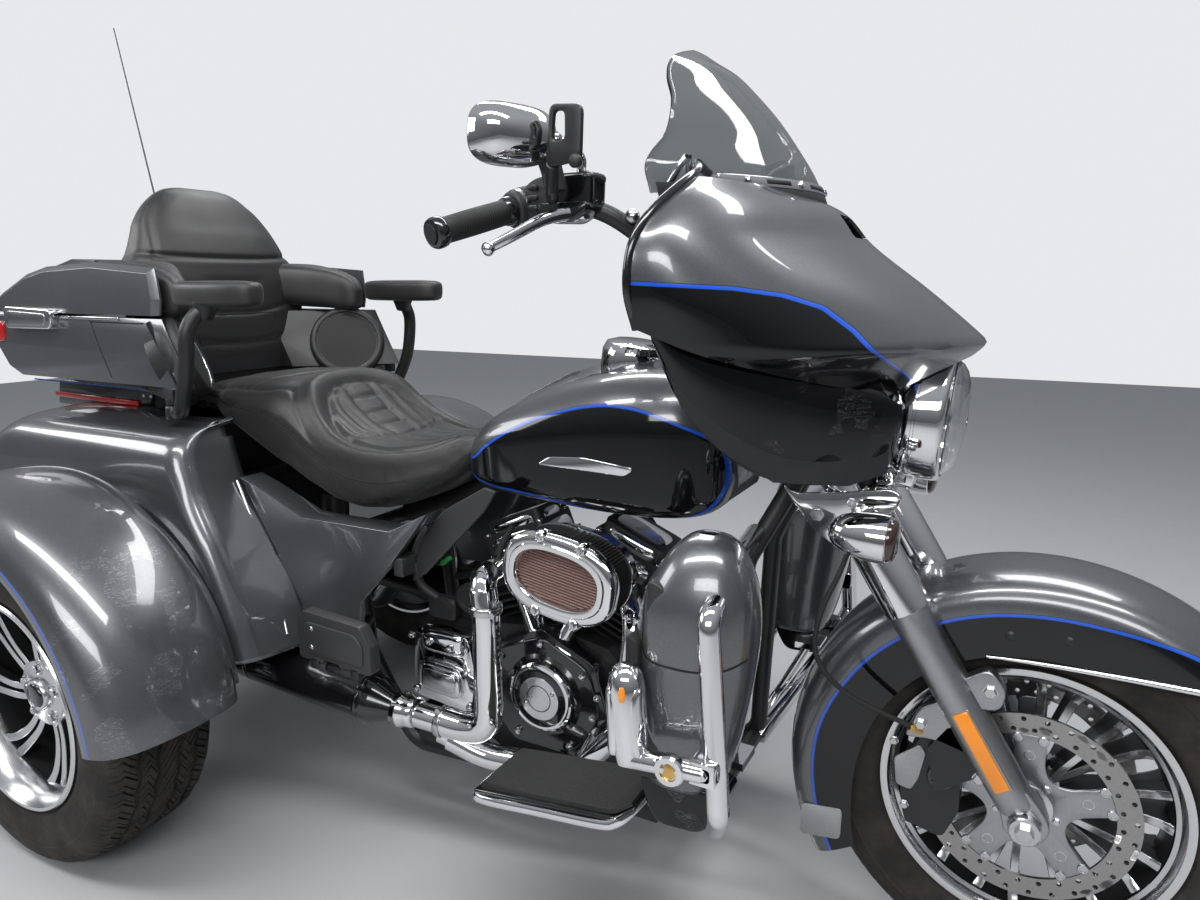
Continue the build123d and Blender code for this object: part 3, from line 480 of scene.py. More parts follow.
# metal turned or brushed in one direction; lay is the scale along each axis
def brushedFinish(name, colour, rough, lay, strength=0.25):
    mat, tree, bsdf = newFinish(name)
    place = addNode(tree, "ShaderNodeMapping", {"Vector": ownPlace(tree), "Scale": lay}).outputs["Vector"]
    lines = noise(tree, place, 1, 4, 0.7)
    tree.links.new(colourMix(tree, lines, [c * 0.86 for c in colour], [min(1, c * 1.1) for c in colour]),
        bsdf.inputs["Base Color"])
    tree.links.new(calc(tree, "ADD", calc(tree, "MULTIPLY", lines, 0.16), rough - 0.08), bsdf.inputs["Roughness"])
    bsdf.inputs["Metallic"].default_value = 1.0
    bumpInto(tree, bsdf, lines, strength, 0.08)
    return mat


def tyreFinish(name):
    mat, tree, bsdf = newFinish(name)
    place = ownPlace(tree)
    dust = ramp(tree, noise(tree, place, 16, 6, 0.65), 0.42, 0.78)
    tree.links.new(colourMix(tree, dust, (0.017, 0.0155, 0.0145), (0.052, 0.044, 0.036)), bsdf.inputs["Base Color"])
    setSockets(bsdf, Roughness=0.78, Specular_IOR_Level=0.35)
    bumpInto(tree, bsdf, noise(tree, place, 420, 4), 0.35, 0.4)
    return mat


def clearFinish(name, colour):
    mat, tree, bsdf = newFinish(name)
    haze = noise(tree, ownPlace(tree), 12, 5, 0.6)
    tree.links.new(colourMix(tree, haze, [c * 0.97 for c in colour], colour), bsdf.inputs["Base Color"])
    setSockets(bsdf, Roughness=0.0, Transmission_Weight=1.0, IOR=1.45)
    return mat


# red-brown or silver net: a fine woven bump and colour
def netFinish(name, colour, gap, scale, metal=0.6, rough=0.45):
    mat, tree, bsdf = newFinish(name)
    place = ownPlace(tree)
    wires = None
    for turn in (0.785, -0.785):
        lay = addNode(tree, "ShaderNodeMapping", {"Vector": place, "Rotation": (0, turn, 0)}).outputs["Vector"]
        wave = addNode(tree, "ShaderNodeTexWave", {"Vector": lay, "Scale": scale}, bands_direction="X").outputs["Fac"]
        wires = wave if wires is None else calc(tree, "MAXIMUM", wires, wave)
    hole = ramp(tree, wires, 0.35, 0.75)
    tree.links.new(colourMix(tree, hole, gap, colour), bsdf.inputs["Base Color"])
    setSockets(bsdf, Metallic=metal, Roughness=rough)
    bumpInto(tree, bsdf, hole, 0.6, 0.5)
    return mat


rearScuffs = [((330, -560, 560), 150), ((395, -640, 470), 130),
    ((300, -690, 480), 90), ((120, -400, 560), 130), ((215, -395, 480), 110), ((-60, -560, 745), 120)]
grey = greyPaint("grey_paint_clean")
greyWorn = greyPaint("grey_paint_scuffed", rearScuffs)
blackWorn = blackPaint("black_gloss_scuffed",
    [((1195, -395, 520), 110), ((1180, -330, 380), 120), ((1400, -250, 870), 130)])
stripe = finish("blue_pinstripe", paintChoice["stripe"], 0.25, coat=1.0, vary=0.05)
satin = finish("satin_black", (0.013, 0.013, 0.014), 0.4, vary=0.2, grain=0.1, grainScale=600)
blackGlossPart = finish("black_gloss_part", (0.006, 0.006, 0.007), 0.16, coat=0.8, smudge=0.06)
plastic = finish("grained_plastic", (0.017, 0.017, 0.018), 0.5, vary=0.12, grain=0.35, grainScale=900)
deepBlack = finish("deep_black_gap", (0.004, 0.004, 0.004), 0.7)
greyPlastic = finish("dark_grey_plastic", (0.030, 0.030, 0.031), 0.42, vary=0.15, grain=0.25, grainScale=700)
rubber = finish("ribbed_rubber", (0.012, 0.012, 0.012), 0.62, vary=0.25, grain=0.3, grainScale=500)
tyreBlack = tyreFinish("tyre_rubber")
leather = leatherFinish("smooth_leather")
leatherPanel = leatherFinish("panel_leather", 0.4)
chrome = finish("chrome", (0.80, 0.80, 0.81), 0.045, metal=1.0, vary=0.04, smudge=0.05)
alloy = brushedFinish("machined_alloy", (0.66, 0.66, 0.67), 0.22, (300, 300, 300), 0.08)
forkAlloy = brushedFinish("satin_alloy", (0.40, 0.40, 0.41), 0.34, (420, 420, 60), 0.2)
discSteel = brushedFinish("disc_steel", (0.36, 0.35, 0.345), 0.3, (260, 40, 260), 0.3)
castGrey = finish("cast_grey",
    (0.055, 0.055, 0.058), 0.48, metal=0.5, vary=0.2, grain=0.35, grainScale=700)
finBlack = finish("fin_black", (0.010, 0.010, 0.011), 0.5, vary=0.2, grain=0.3, grainScale=600)
boltSteel = finish("bolt_steel", (0.55, 0.55, 0.56), 0.2, metal=1.0)
brass = finish("gold_fitting", (0.72, 0.46, 0.16), 0.28, metal=1.0)
redLens = finish("red_lens", (0.36, 0.006, 0.006), 0.12, coat=1.0, vary=0.3)
amberLens = finish("amber_lens", (0.82, 0.25, 0.008), 0.2, coat=0.8, vary=0.15, grain=0.8, grainScale=350)
smokeLens = finish("smoke_lens", (0.03, 0.012, 0.008), 0.1, coat=1.0)
windowNet = netFinish("brown_net", (0.24, 0.15, 0.13), (0.05, 0.02, 0.018), 170, 0.5)
silverNet = netFinish("silver_net", (0.55, 0.55, 0.56), (0.06, 0.06, 0.06), 150, 0.9, 0.3)
screenClear = clearFinish("screen_clear", (0.82, 0.85, 0.83))
lensClear = clearFinish("lens_clear", (0.97, 0.98, 0.99))
mirrorGlass = finish("mirror_glass", (0.7, 0.72, 0.74), 0.02, metal=1.0, vary=0.02, smudge=0.01)
greenBit = finish("green_connector", (0.02, 0.30, 0.05), 0.4)
blueBit = finish("blue_button", (0.01, 0.09, 0.5), 0.35)
labelWhite = finish("white_dot", (0.7, 0.7, 0.7), 0.5)
thread = finish("stitch_thread", (0.035, 0.035, 0.037), 0.6, grain=0.3, grainScale=1500)
print("stage: finishes")


# applies what a piece's modifiers do, cutting the given shapes away first
def cutAway(obj, shapes):
    cutter = piece(obj.name + "_cutter", shapes, deepBlack, "chassis")
    cut = obj.modifiers.new("cut", "BOOLEAN")
    cut.object = cutter
    cut.solver = "EXACT"
    bakeDown(obj)
    bpy.data.objects.remove(cutter)


def bakeDown(obj, sharp=38):
    depsgraph = bpy.context.evaluated_depsgraph_get()
    mesh = bpy.data.meshes.new_from_object(obj.evaluated_get(depsgraph))
    obj.modifiers.clear()
    obj.data = mesh
    smoothen(mesh, sharp)


# stores a distance in mm at each point, which the two-tone paint turns into its colours
def setTone(obj, distance):
    mesh = obj.data
    layer = mesh.attributes.new("tone", "FLOAT", "POINT")
    layer.data.foreach_set("value", [distance(*back(v.co)) for v in mesh.vertices])


# distance from (x, z) to a closed outline, below zero inside it
def insideOf(outline):
    def distance(x, z):
        best, inside = 1e9, False
        for i in range(len(outline)):
            ax, az = outline[i - 1]
            bx, bz = outline[i]
            dx, dz = bx - ax, bz - az
            t = max(0, min(1, ((x - ax) * dx + (z - az) * dz) / (dx * dx + dz * dz + 1e-9)))
            best = min(best, math.hypot(x - ax - t * dx, z - az - t * dz))
            if (az > z) != (bz > z) and x < (bx - ax) * (z - az) / (bz - az) + ax:
                inside = not inside
        return -best if inside else best
    return distance


# grey outside, black inside, blue line with a thin dark edge between them
def twoTone(name, line=2.3, edge=0.9, patches=()):
    mat, tree, bsdf = newFinish(name)
    place = ownPlace(tree)
    tone = addNode(tree, "ShaderNodeAttribute", attribute_name="tone").outputs["Fac"]
    cells = addNode(tree, "ShaderNodeTexVoronoi", {"Vector": place, "Scale": paintChoice["flake"]}).outputs["Color"]
    spread = paintChoice["flakeSpread"]
    body = colourMix(tree,
        cells, [c * (1 - spread) for c in paintChoice["grey"]], [c * (1 + 1.6 * spread) for c in paintChoice["grey"]])
    isBlack = calc(tree, "LESS_THAN", tone, 0.0)
    size = calc(tree, "ABSOLUTE", tone)
    isLine = calc(tree, "LESS_THAN", size, line)
    isEdge = calc(tree, "LESS_THAN", size, line + edge)
    colour = colourMix(tree, isBlack, body, paintChoice["black"])
    colour = colourMix(tree, isEdge, colour, (0.01, 0.014, 0.03))
    colour = colourMix(tree, isLine, colour, paintChoice["stripe"])
    film = ramp(tree, noise(tree, place, 6, 6, 0.62), 0.5, 0.85)
    dust = calc(tree, "MULTIPLY", film, calc(tree, "SUBTRACT", 0.06, calc(tree, "MULTIPLY", isBlack, 0.05)))
    colour = colourMix(tree, dust, colour, (0.3, 0.3, 0.3))
    if patches:
        colour = colourMix(tree, scuffMask(tree, place, patches), colour, paintChoice["scuff"])
    tree.links.new(colour, bsdf.inputs["Base Color"])
    metal = calc(tree,
        "MULTIPLY", calc(tree, "SUBTRACT", 1.0, calc(tree, "MAXIMUM", isBlack, isEdge)), paintChoice["metal"])
    tree.links.new(metal, bsdf.inputs["Metallic"])
    tree.links.new(calc(tree, "SUBTRACT", paintChoice["rough"], calc(tree, "MULTIPLY", isBlack, 0.23)),
        bsdf.inputs["Roughness"])
    tree.links.new(calc(tree, "SUBTRACT", 1.0, calc(tree, "MULTIPLY", isBlack, 0.85)), bsdf.inputs["Coat Weight"])
    setSockets(bsdf, Coat_Roughness=0.02, Specular_IOR_Level=0.42)
    return mat


twoTonePaint = twoTone("two_tone_paint")

# Fairing: one skin through the sections, with its lower edge, lamp hole and vent.

fairingShape = {
    "sections": [  # z, front x, half width, back x
        (880, 1414, 196, 1172), (900, 1440, 230, 1172), (960, 1505, 320, 1172), (992, 1541, 370, 1170),
        (1005, 1551, 386, 1170), (1020, 1538, 394, 1169), (1080, 1466, 412, 1166), (1150, 1376, 404, 1172),
        (1200, 1330, 350, 1190), (1230, 1272, 292, 1204)],
    "plan": [(0, 0, 1), (1, 0.22, 0.97), (2, 0.5, 0.8), (3, 0.75, 0.52), (4, 0.92, 0.28), (5, 1, 0.1), (5.5, 1.003, 0)],
    "lowerEdge": [(1150, 1044), (1177, 1034), (1300, 985), (1434, 932), (1600, 900)],
    "top": 1230,
    "skin": 5,
    "lamp": ((1400, 0, 899), (1690, 0, 879), 103),
    "line": [(1100, 1097), (1160, 1094), (1225, 1091), (1286, 1087), (1335, 1078), (1375, 1062), (1411, 1032),
             (1440, 1000), (1462, 968), (1474, 938), (1476, 900)],
}


def fairingPoint(t, z):  # t runs from 0 at the rear edge to 5.5 at the nose
    front, half, rear = readTable(fairingShape["sections"], z)
    a, b = readTable(fairingShape["plan"], t)
    return rear + a * (front - rear), b * half


def straightTable(table, x):
    for (ax, az), (bx, bz) in zip(table, table[1:]):
        if x <= bx:
            return az + (bz - az) * (x - ax) / (bx - ax)
    return table[-1][1]


def fairingRows():
    columns = []
    for i in range(-66, 67):
        t = 5.5 * (1 - abs(i) / 66)
        low = 960
        for _ in range(12):
            low = 0.5 * (low + straightTable(fairingShape["lowerEdge"], fairingPoint(t, low)[0]))
        low = min(low, 1000 if t > 4 else 1100)
        column = []
        for k in range(47):
            z = low + (fairingShape["top"] - low) * k / 46
            x, y = fairingPoint(t, z)
            column.append((x, y if i > 0 else -y, z))
        columns.append(column)
    return columns


fairing = piece("fairing_shell", [grid(fairingRows())], [twoTonePaint], "steering", thick=fairingShape["skin"])
lampStart, lampEnd, lampHole = fairingShape["lamp"]
lampWay = Vector(lampEnd) - Vector(lampStart)
ventHole = slab(roundedCorners([(-50, 1158), (50, 1158), (36, 1194), (-36, 1194)], 8), 1250, 1450, "x")
cutAway(fairing, [turned(lampStart, lampWay, [(0, lampHole), (290, lampHole)], 72), ventHole])
outlineBlack = [(1100, 850)] + fairingShape["line"] + [(1476, 850)]
setTone(fairing, lambda x, y, z, d=insideOf(outlineBlack): d(x, z))
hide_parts("fairing_outer")
piece("fairing_vent", [slab([(-60, 1150), (60, 1150), (48, 1200), (-48, 1200)],
    1296, 1304, "x")] + [slab([(-48, z), (48, z), (48, z + 4), (-48, z + 4)], 1302, 1338 - 0.8 * (z - 1158), "x")
    for z in (1163, 1176)], blackGlossPart, "steering", bevel=1)
rimLine = [(1170, -392, 1036), (1167, -411, 1080), (1168, -411, 1120), (1174, -401, 1154), (1184, -374, 1184),
    (1196, -332, 1212), (1202, -292, 1232), (1193, -250, 1246), (1179, -215, 1255), (1188, -196, 1243)]
piece("fairing_rim", both([tube(rimLine, 6.2, 6, 12, taper=(0.9, 1.1))]), blackGlossPart, "steering")

# the dark gasket and the silver strip with its bolts and slots at the foot of the windshield
screenShape = {
    "sections": [  # z, x at the middle, half width, bow
        (1212, 1302, 280, 165), (1256, 1283, 284, 152), (1304, 1253, 228, 118), (1350, 1219, 200, 88),
        (1389, 1184, 174, 72), (1420, 1152, 144, 48), (1438, 1124, 98, 22), (1452, 1104, 46, 5)],
    "thick": 4.5,
}


def screenPoint(s, z, ahead=0.0):
    middle, half, bow = readTable(screenShape["sections"], z)
    return middle - bow * s * s + ahead, s * half, z


screen = piece("windshield_pane",
    [grid([[screenPoint(s / 24, z) for s in range(-24, 25)] for z in [1214 + 238 * k / 44 for k in range(45)]])],
    screenClear, "steering", thick=screenShape["thick"], bevel=0.9)
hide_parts("windshield")


def screenBand(low, high, span, ahead):
    return grid([[screenPoint(span[0] + (span[1] - span[0]) * k / 40, z, ahead) for k in range(41)]
        for z in (low, (low + high) / 2, high)])


piece("windshield_gasket", [screenBand(1210, 1229, (-0.98, 0.98), 3.5)], rubber, "steering", thick=5, bevel=1)
piece("windshield_strip", [screenBand(1229, 1243, (-0.74, 0.74), 4.5)], chrome, "steering", thick=3, bevel=0.8)
stripBits = []
for s in (-0.6, -0.24, 0.24, 0.6):
    spot = Vector(screenPoint(s, 1236, 4.4))
    stripBits.append(turned(spot, (1, 0.55 * -s, 0.35), [(-2, 6), (1.5, 6), (3, 5), (3, 2.6), (1.4, 2.4)], 18))
piece("windshield_bolts", stripBits, boltSteel, "steering", sharp=25)
piece("windshield_slots", [grid([[screenPoint(s, z, 5.6) for s in (a, (a + b) / 2, b)] for z in (1233, 1239)])
    for a, b in ((-0.5, -0.34), (-0.14, 0.14), (0.34, 0.5))], deepBlack, "steering", thick=1)

# Glossy skirts under the fairing, from its lower edge down beside the lamp.

skirtShape = {
    "plan": [(1178, 352), (1240, 306), (1320, 236), (1392, 180), (1446, 128), (1462, 104)],  # x, half width
    "top": [(1178, 1044), (1240, 1014), (1320, 982), (1392, 952), (1446, 930), (1462, 918)],
    "foot": [(1178, 1008), (1205, 936), (1250, 868), (1311, 818), (1400, 806), (1446, 820), (1462, 846)],
    "bulge": 13,
}


def skirtRows():
    rows = []
    for k in range(15):
        share = k / 14
        row = []
        for i in range(41):
            x = 1178 + 284 * i / 40
            half = readTable(skirtShape["plan"], x)[0]
            top = readTable(skirtShape["top"], x)[0]
            foot = readTable(skirtShape["foot"], x)[0]
            out = skirtShape["bulge"] * math.sin(math.pi * min(1, share * 1.05)) - 16 * share
            row.append((x - 8 * share, -(half + out), top + (foot - top) * share))
        rows.append(row)
    return rows


piece("fairing_skirts", both([grid(skirtRows())]), blackWorn, "steering", thick=5, bevel=1.2)

# Headlight: bucket with its seam ring, bezel, bowls inside and the glass.

lampShape = {
    "start": (1424, 0, 897),
    "aim": (1540, 0, 889),
    "bucket": [(0, 40), (2, 58), (7, 74), (15, 86), (26, 94), (38, 98.6), (46, 99.4), (47, 97.6), (50, 97.6),
               (51, 99.8), (80, 99.8), (85, 98.4), (88, 95.6), (89, 92), (86, 89), (78, 88)],
    "glass": [(84, 89), (90, 88), (97, 83), (104, 73), (109, 58), (112, 38), (113, 16), (113, 1)],
}
lampFrom = Vector(lampShape["start"])
lampTo = (Vector(lampShape["aim"]) - lampFrom).normalized()
bucket = piece("headlight_bucket", [turned(lampFrom, lampTo, lampShape["bucket"], 64)], chrome, "steering", sharp=60)
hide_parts("headlight")
piece("headlight_bowl",
    [turned(lampFrom, lampTo, [(80, 88), (62, 84), (50, 72), (44, 50), (42, 10)], 48)], chrome, "steering", sharp=60)
lampBits = []
for side in (-1, 1):
    spot = lampFrom + lampTo * 58 + Vector((0, 40 * side, 0))
    lampBits.append(turned(spot, lampTo, [(0, 20), (8, 27), (20, 34), (24, 34), (22, 30), (10, 20), (6, 6)], 32))
lampBits.append(roundedBox(lampFrom + lampTo * 66, (10, 30, 150), 4))
lampBits.append(roundedBox(lampFrom + lampTo * 62, (8, 130, 12), 3))
piece("headlight_reflectors", lampBits, chrome, "steering", bevel=1)
piece("headlight_lenses", [turned(lampFrom + lampTo * 76 + Vector((0, 40 * side, 0)),
    lampTo, [(0, 30), (4, 28), (8, 20), (10, 8), (10.5, 1)], 32) for side in (-1, 1)], lensClear, "steering")
piece("headlight_glass",
    [grid([[tuple(lampFrom + lampTo * along + (axes(lampTo)[1] * math.cos(a) + axes(lampTo)[2] * math.sin(a)) * radius)
    for a in fullTurn(64)] for along, radius in lampShape["glass"]], loop=True)],
    lensClear, "steering", thick=2.4, sharp=180)
piece("headlight_foot", [slab(roundedCorners([(1414, 780), (1470, 780), (1476, 812), (1450, 826), (1416, 820)], 8),
    -28, 28)], chrome, "steering", bevel=3)

# Bullet turn signals with dark lenses, on the ends of a cross arm.

signalShape = [(0, 10), (5, 18), (14, 25), (28, 30), (48, 33), (70, 34), (79, 33.4), (80, 31), (86, 29.5)]
signals = piece("signal_housings",
    both([turned((1388, -212, 752), (87, 0, -4), signalShape, 40)]), chrome, "steering", sharp=60)
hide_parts("turn_signals")
piece("signal_lenses", both([turned((1388 + 80, -212, 748.5),
    (87, 0, -4), [(0, 31), (5, 30.5), (10, 26), (13, 16), (14, 2)], 40)]), smokeLens, "steering")
piece("signal_arms", both([tube([(1405, -112, 765), (1412, -150, 760), (1428, -205, 753)], 9, 8, 16),
    turned((1404, -104, 766), (0.12, -1, -0.1), [(0, 15), (10, 15), (13, 12)], 24)]), chrome, "steering")
print("stage: fairing, windshield, lamp and signals")


# Fuel tank: closed loops along X, with the black teardrop panel lined in blue on each side.

tankShape = {
    "sections": [  # x, half width, bottom, top, top corner, foot corner
        (679, 60, 752, 780, 14, 12), (684, 98, 742, 794, 24, 14), (706, 134, 730, 820, 38, 20),
        (744, 152, 722, 852, 56, 24), (810, 161, 716, 888, 76, 26), (900, 168, 712, 923, 92, 28),
        (1010, 170, 709, 948, 100, 28), (1110, 160, 711, 948, 94, 28), (1165, 132, 718, 930, 78, 26),
        (1190, 98, 736, 900, 56, 22), (1199, 60, 760, 872, 34, 18)],
    "panel": [(700, 752), (706, 775), (721, 778), (752, 802), (793, 828), (855, 858), (918, 879), (970, 891),
              (1014, 895), (1062, 891), (1103, 880), (1140, 866), (1172, 848), (1190, 820), (1190, 760),
              (1160, 722), (1082, 706), (990, 712), (905, 721), (830, 727), (765, 730), (722, 738)],
    "badge": (966, 793, 188),  # middle x, middle z, length; left blank
}


def tankLoop(row):
    x, half, low, high, top, foot = row
    corners = [(-half, low), (-half, high), (half, high), (half, low)]
    loop = []
    for (y, z), r, a0 in zip(corners, (foot, top, top, foot), (270, 180, 90, 0)):
        cy, cz = y + (r if y < 0 else -r), z + (r if z == low else -r)
        for k in range(13):
            a = math.radians(a0 - 90 * k / 12)
            loop.append((x, cy + r * math.cos(a), cz + r * math.sin(a)))
    return loop


def denser(loop, gap):  # more points where two neighbours lie far apart
    out = []
    for i, p in enumerate(loop):
        q = loop[(i + 1) % len(loop)]
        n = max(1, gap[i])
        out += [tuple(a + (b - a) * k / n for a, b in zip(p, q)) for k in range(n)]
    return out


tankStations = [tuple([x] + readTable(tankShape["sections"], x))
    for x in [679, 681, 684, 688, 694] + list(range(700, 1180, 8)) + [1182, 1187, 1191, 1195, 1198, 1199]]
gaps = [14 if i % 13 == 12 else 1 for i in range(52)]
tankSkin = piece("tank_skin", [grid([denser(tankLoop(row), gaps) for row in tankStations], loop=True, capped=True)],
    [twoTonePaint], "chassis", sharp=50)
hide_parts("fuel_tank")
panelLine = smoothLine([(x, z) for x, z in tankShape["panel"]], 4, loop=True)
inPanel = insideOf(panelLine)
setTone(tankSkin, lambda x, y, z: inPanel(x, z) if abs(y) > 60 else 40)
badgeX, badgeZ, badgeLong = tankShape["badge"]
badges = []
for side in (-1, 1):
    top = [(badgeX - badgeLong / 2, badgeZ - 9), (badgeX - badgeLong * 0.36, badgeZ + 8), (badgeX, badgeZ + 13),
        (badgeX + badgeLong / 2, badgeZ + 4), (badgeX + badgeLong * 0.42, badgeZ - 12), (badgeX, badgeZ - 10)]
    low, high = sorted((side * 165, side * 172))
    badges.append(slab(roundedCorners(top, 9), low, high))
piece("tank_plates", badges, chrome, "chassis", bevel=2.2)

# Front fender: turned sections with side skirts whose lower edge changes round the wheel.

fenderShape = {
    "crown": [(-91, 322), (-88, 334), (-80, 345), (-66, 353), (-40, 361), (0, 364)],  # y, radius
    "skirt": [(41.5, 360), (46, 333), (52, 305), (60, 276), (68, 259), (78, 251), (90, 248), (110, 246), (131, 244),
              (150, 242), (170, 244), (190, 254), (203, 268), (210, 277)],  # angle, lowest radius
    "line": [(41, 352), (50, 346), (58, 338), (68, 326), (78, 317), (90, 312), (101, 310), (150, 309), (170, 314),
             (190, 315), (212, 318)],
    "thick": 3.5,
    "tip": (191.5, 209.4),
}


def fenderPoint(angle, y, r, hub):
    a = math.radians(angle)
    return hub[0] + r * math.cos(a), hub[1] + y, hub[2] + r * math.sin(a)


def fenderRow(angle, out=0.0):
    low = readTable(fenderShape["skirt"], angle)[0]
    side = [(-89, low), (-91, low + (322 - low) * 0.4),
        (-92, low + (322 - low) * 0.75)] if low < 310 else [(-60, low), (-50, low + 2), (-40, low + 4)]
    crown = fenderShape["crown"] if low < 310 else [(y * 0.9, max(low + 4, r)) for y, r in fenderShape["crown"][3:]]
    half = side + crown
    while len(half) < 9:
        half.insert(0, half[0])
    line = smoothLine(half + [(-y, r) for y, r in reversed(half[:-1])], 4)
    return [fenderPoint(angle, y * (1 + out / 90), r + out, frontCentre) for y, r in line]


frontFender = piece("front_fender_skin", [grid([fenderRow(a) for a in [41.5 + 168 * k / 84 for k in range(85)]])],
    [twoTonePaint], "steering", thick=fenderShape["thick"], sharp=60)
bakeDown(frontFender, 60)
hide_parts("front_fender")


def fenderTone(x, _, z):
    angle = math.degrees(math.atan2(z - frontHub, x - wheelbase)) % 360
    return math.hypot(x - wheelbase, z - frontHub) - readTable(fenderShape["line"], angle)[0]


setTone(frontFender, fenderTone)
tipRows = [fenderRow(fenderShape["tip"][0] + (fenderShape["tip"][1] - fenderShape["tip"][0]) * k / 10,
    out=2.6) for k in range(11)]
piece("fender_tip", [grid(tipRows)], chrome, "steering", thick=2, bevel=1, sharp=60)
meshOutline = roundedCorners([(1342, 238), (1408, 246), (1407, 190), (1341, 181)], 9)
piece("fender_tip_mesh", both([slab(meshOutline, -97.2, -94.4)]), silverNet, "steering", bevel=0.6)
spear = [(1598, -94, 557),
    (1640, -95.5, 560.5), (1700, -95.5, 562.5), (1780, -95.5, 563.5), (1860, -95, 563.5), (1905, -91, 563.5)]
piece("fender_spears", both([tube(spear, 4.6, 8, 12, oval=0.6, taper=(0.35, 1.15))]), chrome, "steering")
piece("fender_bolts", both([turned((x, -90, z), (0, -1, 0), [(0, 8), (4, 8), (6.5, 5), (7, 1)], 20)
    for x, z in ((1626, 596), (1700, 603))]), satin, "steering")

# Rear fenders: turned shells that run onto the body, with a lined outer lip.

linedGrey = twoTone("lined_grey_paint", 2.2, 0.0, rearScuffs)
rearFenderShape = {
    "profile": [(-160, 346), (-160, 358), (-158, 370), (-148, 396), (-122, 418), (-80, 430), (-20, 434), (40, 430),
                (74, 417), (94, 388), (104, 358), (131, 350)],  # y from the wheel, radius
    "arc": (5, 177),
    "thick": 5,
    "line": 361,
}


def rearFenderRow(angle):
    line = smoothLine(rearFenderShape["profile"], 5)
    return [fenderPoint(angle, y, r, (0, -rearTrack, rearHub)) for y, r in line]


low, high = rearFenderShape["arc"]
rearShell = grid([rearFenderRow(low + (high - low) * k / 96) for k in range(97)])
rearFenders = piece("rear_fender_skins",
    both([rearShell]), [linedGrey], "chassis", thick=rearFenderShape["thick"], sharp=60)
bakeDown(rearFenders, 60)
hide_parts("rear_fenders")


# only the outer lip carries the blue line
def rearFenderTone(x, y, z):
    gap = abs(math.hypot(x, z - rearHub) - rearFenderShape["line"])
    return 50 + gap if abs(y) < 688 else gap + 0.001


setTone(rearFenders, rearFenderTone)
linerRows = [[fenderPoint(a, y, r - 16, (0, -rearTrack, rearHub))
    for y, r in ((-140, 372), (-100, 400), (0, 410), (90, 380), (126, 340))] for a in range(8, 176, 6)]
piece("fender_liners", both([grid(linerRows)]), plastic, "chassis", thick=2)

# Rear body: plan outlines with round corners, open to the rear for the luggage bay.

bodyShape = {
    "sections": [  # z, rear x, rear half, side half, shoulder x, front x, front half
        (385, -585, 340, 405, 352, 378, 300), (470, -600, 350, 405, 332, 350, 288),
        (600, -596, 350, 400, 288, 268, 266), (690, -562, 338, 394, 238, 206, 253),
        (750, -510, 330, 388, 214, 178, 248), (780, -460, 325, 378, 204, 166, 245),
        (796, -426, 312, 358, 196, 156, 242), (806, -400, 286, 326, 188, 150, 240),
        (813, -376, 240, 270, 178, 144, 236), (818, -356, 180, 200, 168, 138, 160)],
    "corner": 46,
    "thick": 7,
    "door": (296, 449, 696),
}


def bodyLoop(z):
    rear, rearHalf, side, shoulder, front, frontHalf = readTable(bodyShape["sections"], z)
    half = [(rear, -rearHalf), (rear + 70, -side), (shoulder, -side), (front, -frontHalf)]
    plan = half + [(x, -y) for x, y in reversed(half)]
    ring = roundedCorners(plan, bodyShape["corner"], 6)
    dense = []
    for i, p in enumerate(ring):
        q = ring[(i + 1) % len(ring)]
        n = [14, 2, 40, 4, 10, 4, 40, 2][(i // 7)] if i % 7 == 6 else 1
        dense += [(p[0] + (q[0] - p[0]) * k / n, p[1] + (q[1] - p[1]) * k / n, z) for k in range(n)]
    return dense


bodyHeights = [385 + 8 * k for k in range(48)] + [766, 772, 778, 784, 789, 793, 797, 801, 804, 807, 810, 813, 816, 818]
bodyGrid = grid([bodyLoop(z) for z in bodyHeights], loop=True)


def keepFaces(shape, test):
    points, faces = shape
    kept = []
    for face in faces:
        middle = [sum(points[i][k] for i in face) / len(face) for k in range(3)]
        if test(*middle):
            kept.append(face)
    return points, kept


doorHalf, doorLow, doorTop = bodyShape["door"]
bodyGrid = keepFaces(bodyGrid,
    lambda x, y, z: not (x > -90 and abs(y) < 236) and not (x < -500 and abs(y) < doorHalf and doorLow < z < doorTop))
topRing = bodyLoop(818)
lidTop = slab([(x, y) for x, y, z in topRing if x < -80], 812, 818, "z")
bodySkin = piece("body_skin", [bodyGrid, lidTop], greyWorn, "chassis", thick=bodyShape["thick"], sharp=50)
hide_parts("rear_body")
bay = [slab(roundedCorners([(-326, 436), (326, 436), (326, 770), (-326, 770)], 20), -150, -144, "x"),
    slab(roundedCorners([(-560, -326), (-146, -326), (-146, 326), (-560, 326)], 10), 426, 432, "z"),
    slab([(-540, -326), (-146, -326), (-146, 326), (-540, 326)], 742, 747, "z")]
bay += both([slab([(-556, 428), (-146, 428), (-146, 745), (-500, 745), (-556, 690)], -330, -326)])
bay += [slab([(-592, 385), (-560, 385), (-560, 436), (-596, 446)], -330, 330)]
piece("luggage_bay", bay, plastic, "chassis", bevel=1.5)
piece("bay_pins", [tube([(-612, y - 52, 448), (-612, y + 52, 448)], 5, 1, 16) for y in (-200, 200)]
    + [roundedBox((-596, y + e * 47, 444), (34, 12, 18), 5) for y in (-200, 200) for e in (-1, 1)], satin, "chassis")
softened("tailgate", grey, 3)
piece("bay_seal", [tube([(-568, -301, 441), (-578, 0, 441), (-568, 301, 441)], 4, 8, 8)], rubber, "chassis")

# Side covers, heat deflectors and the twin silver strips beside them.

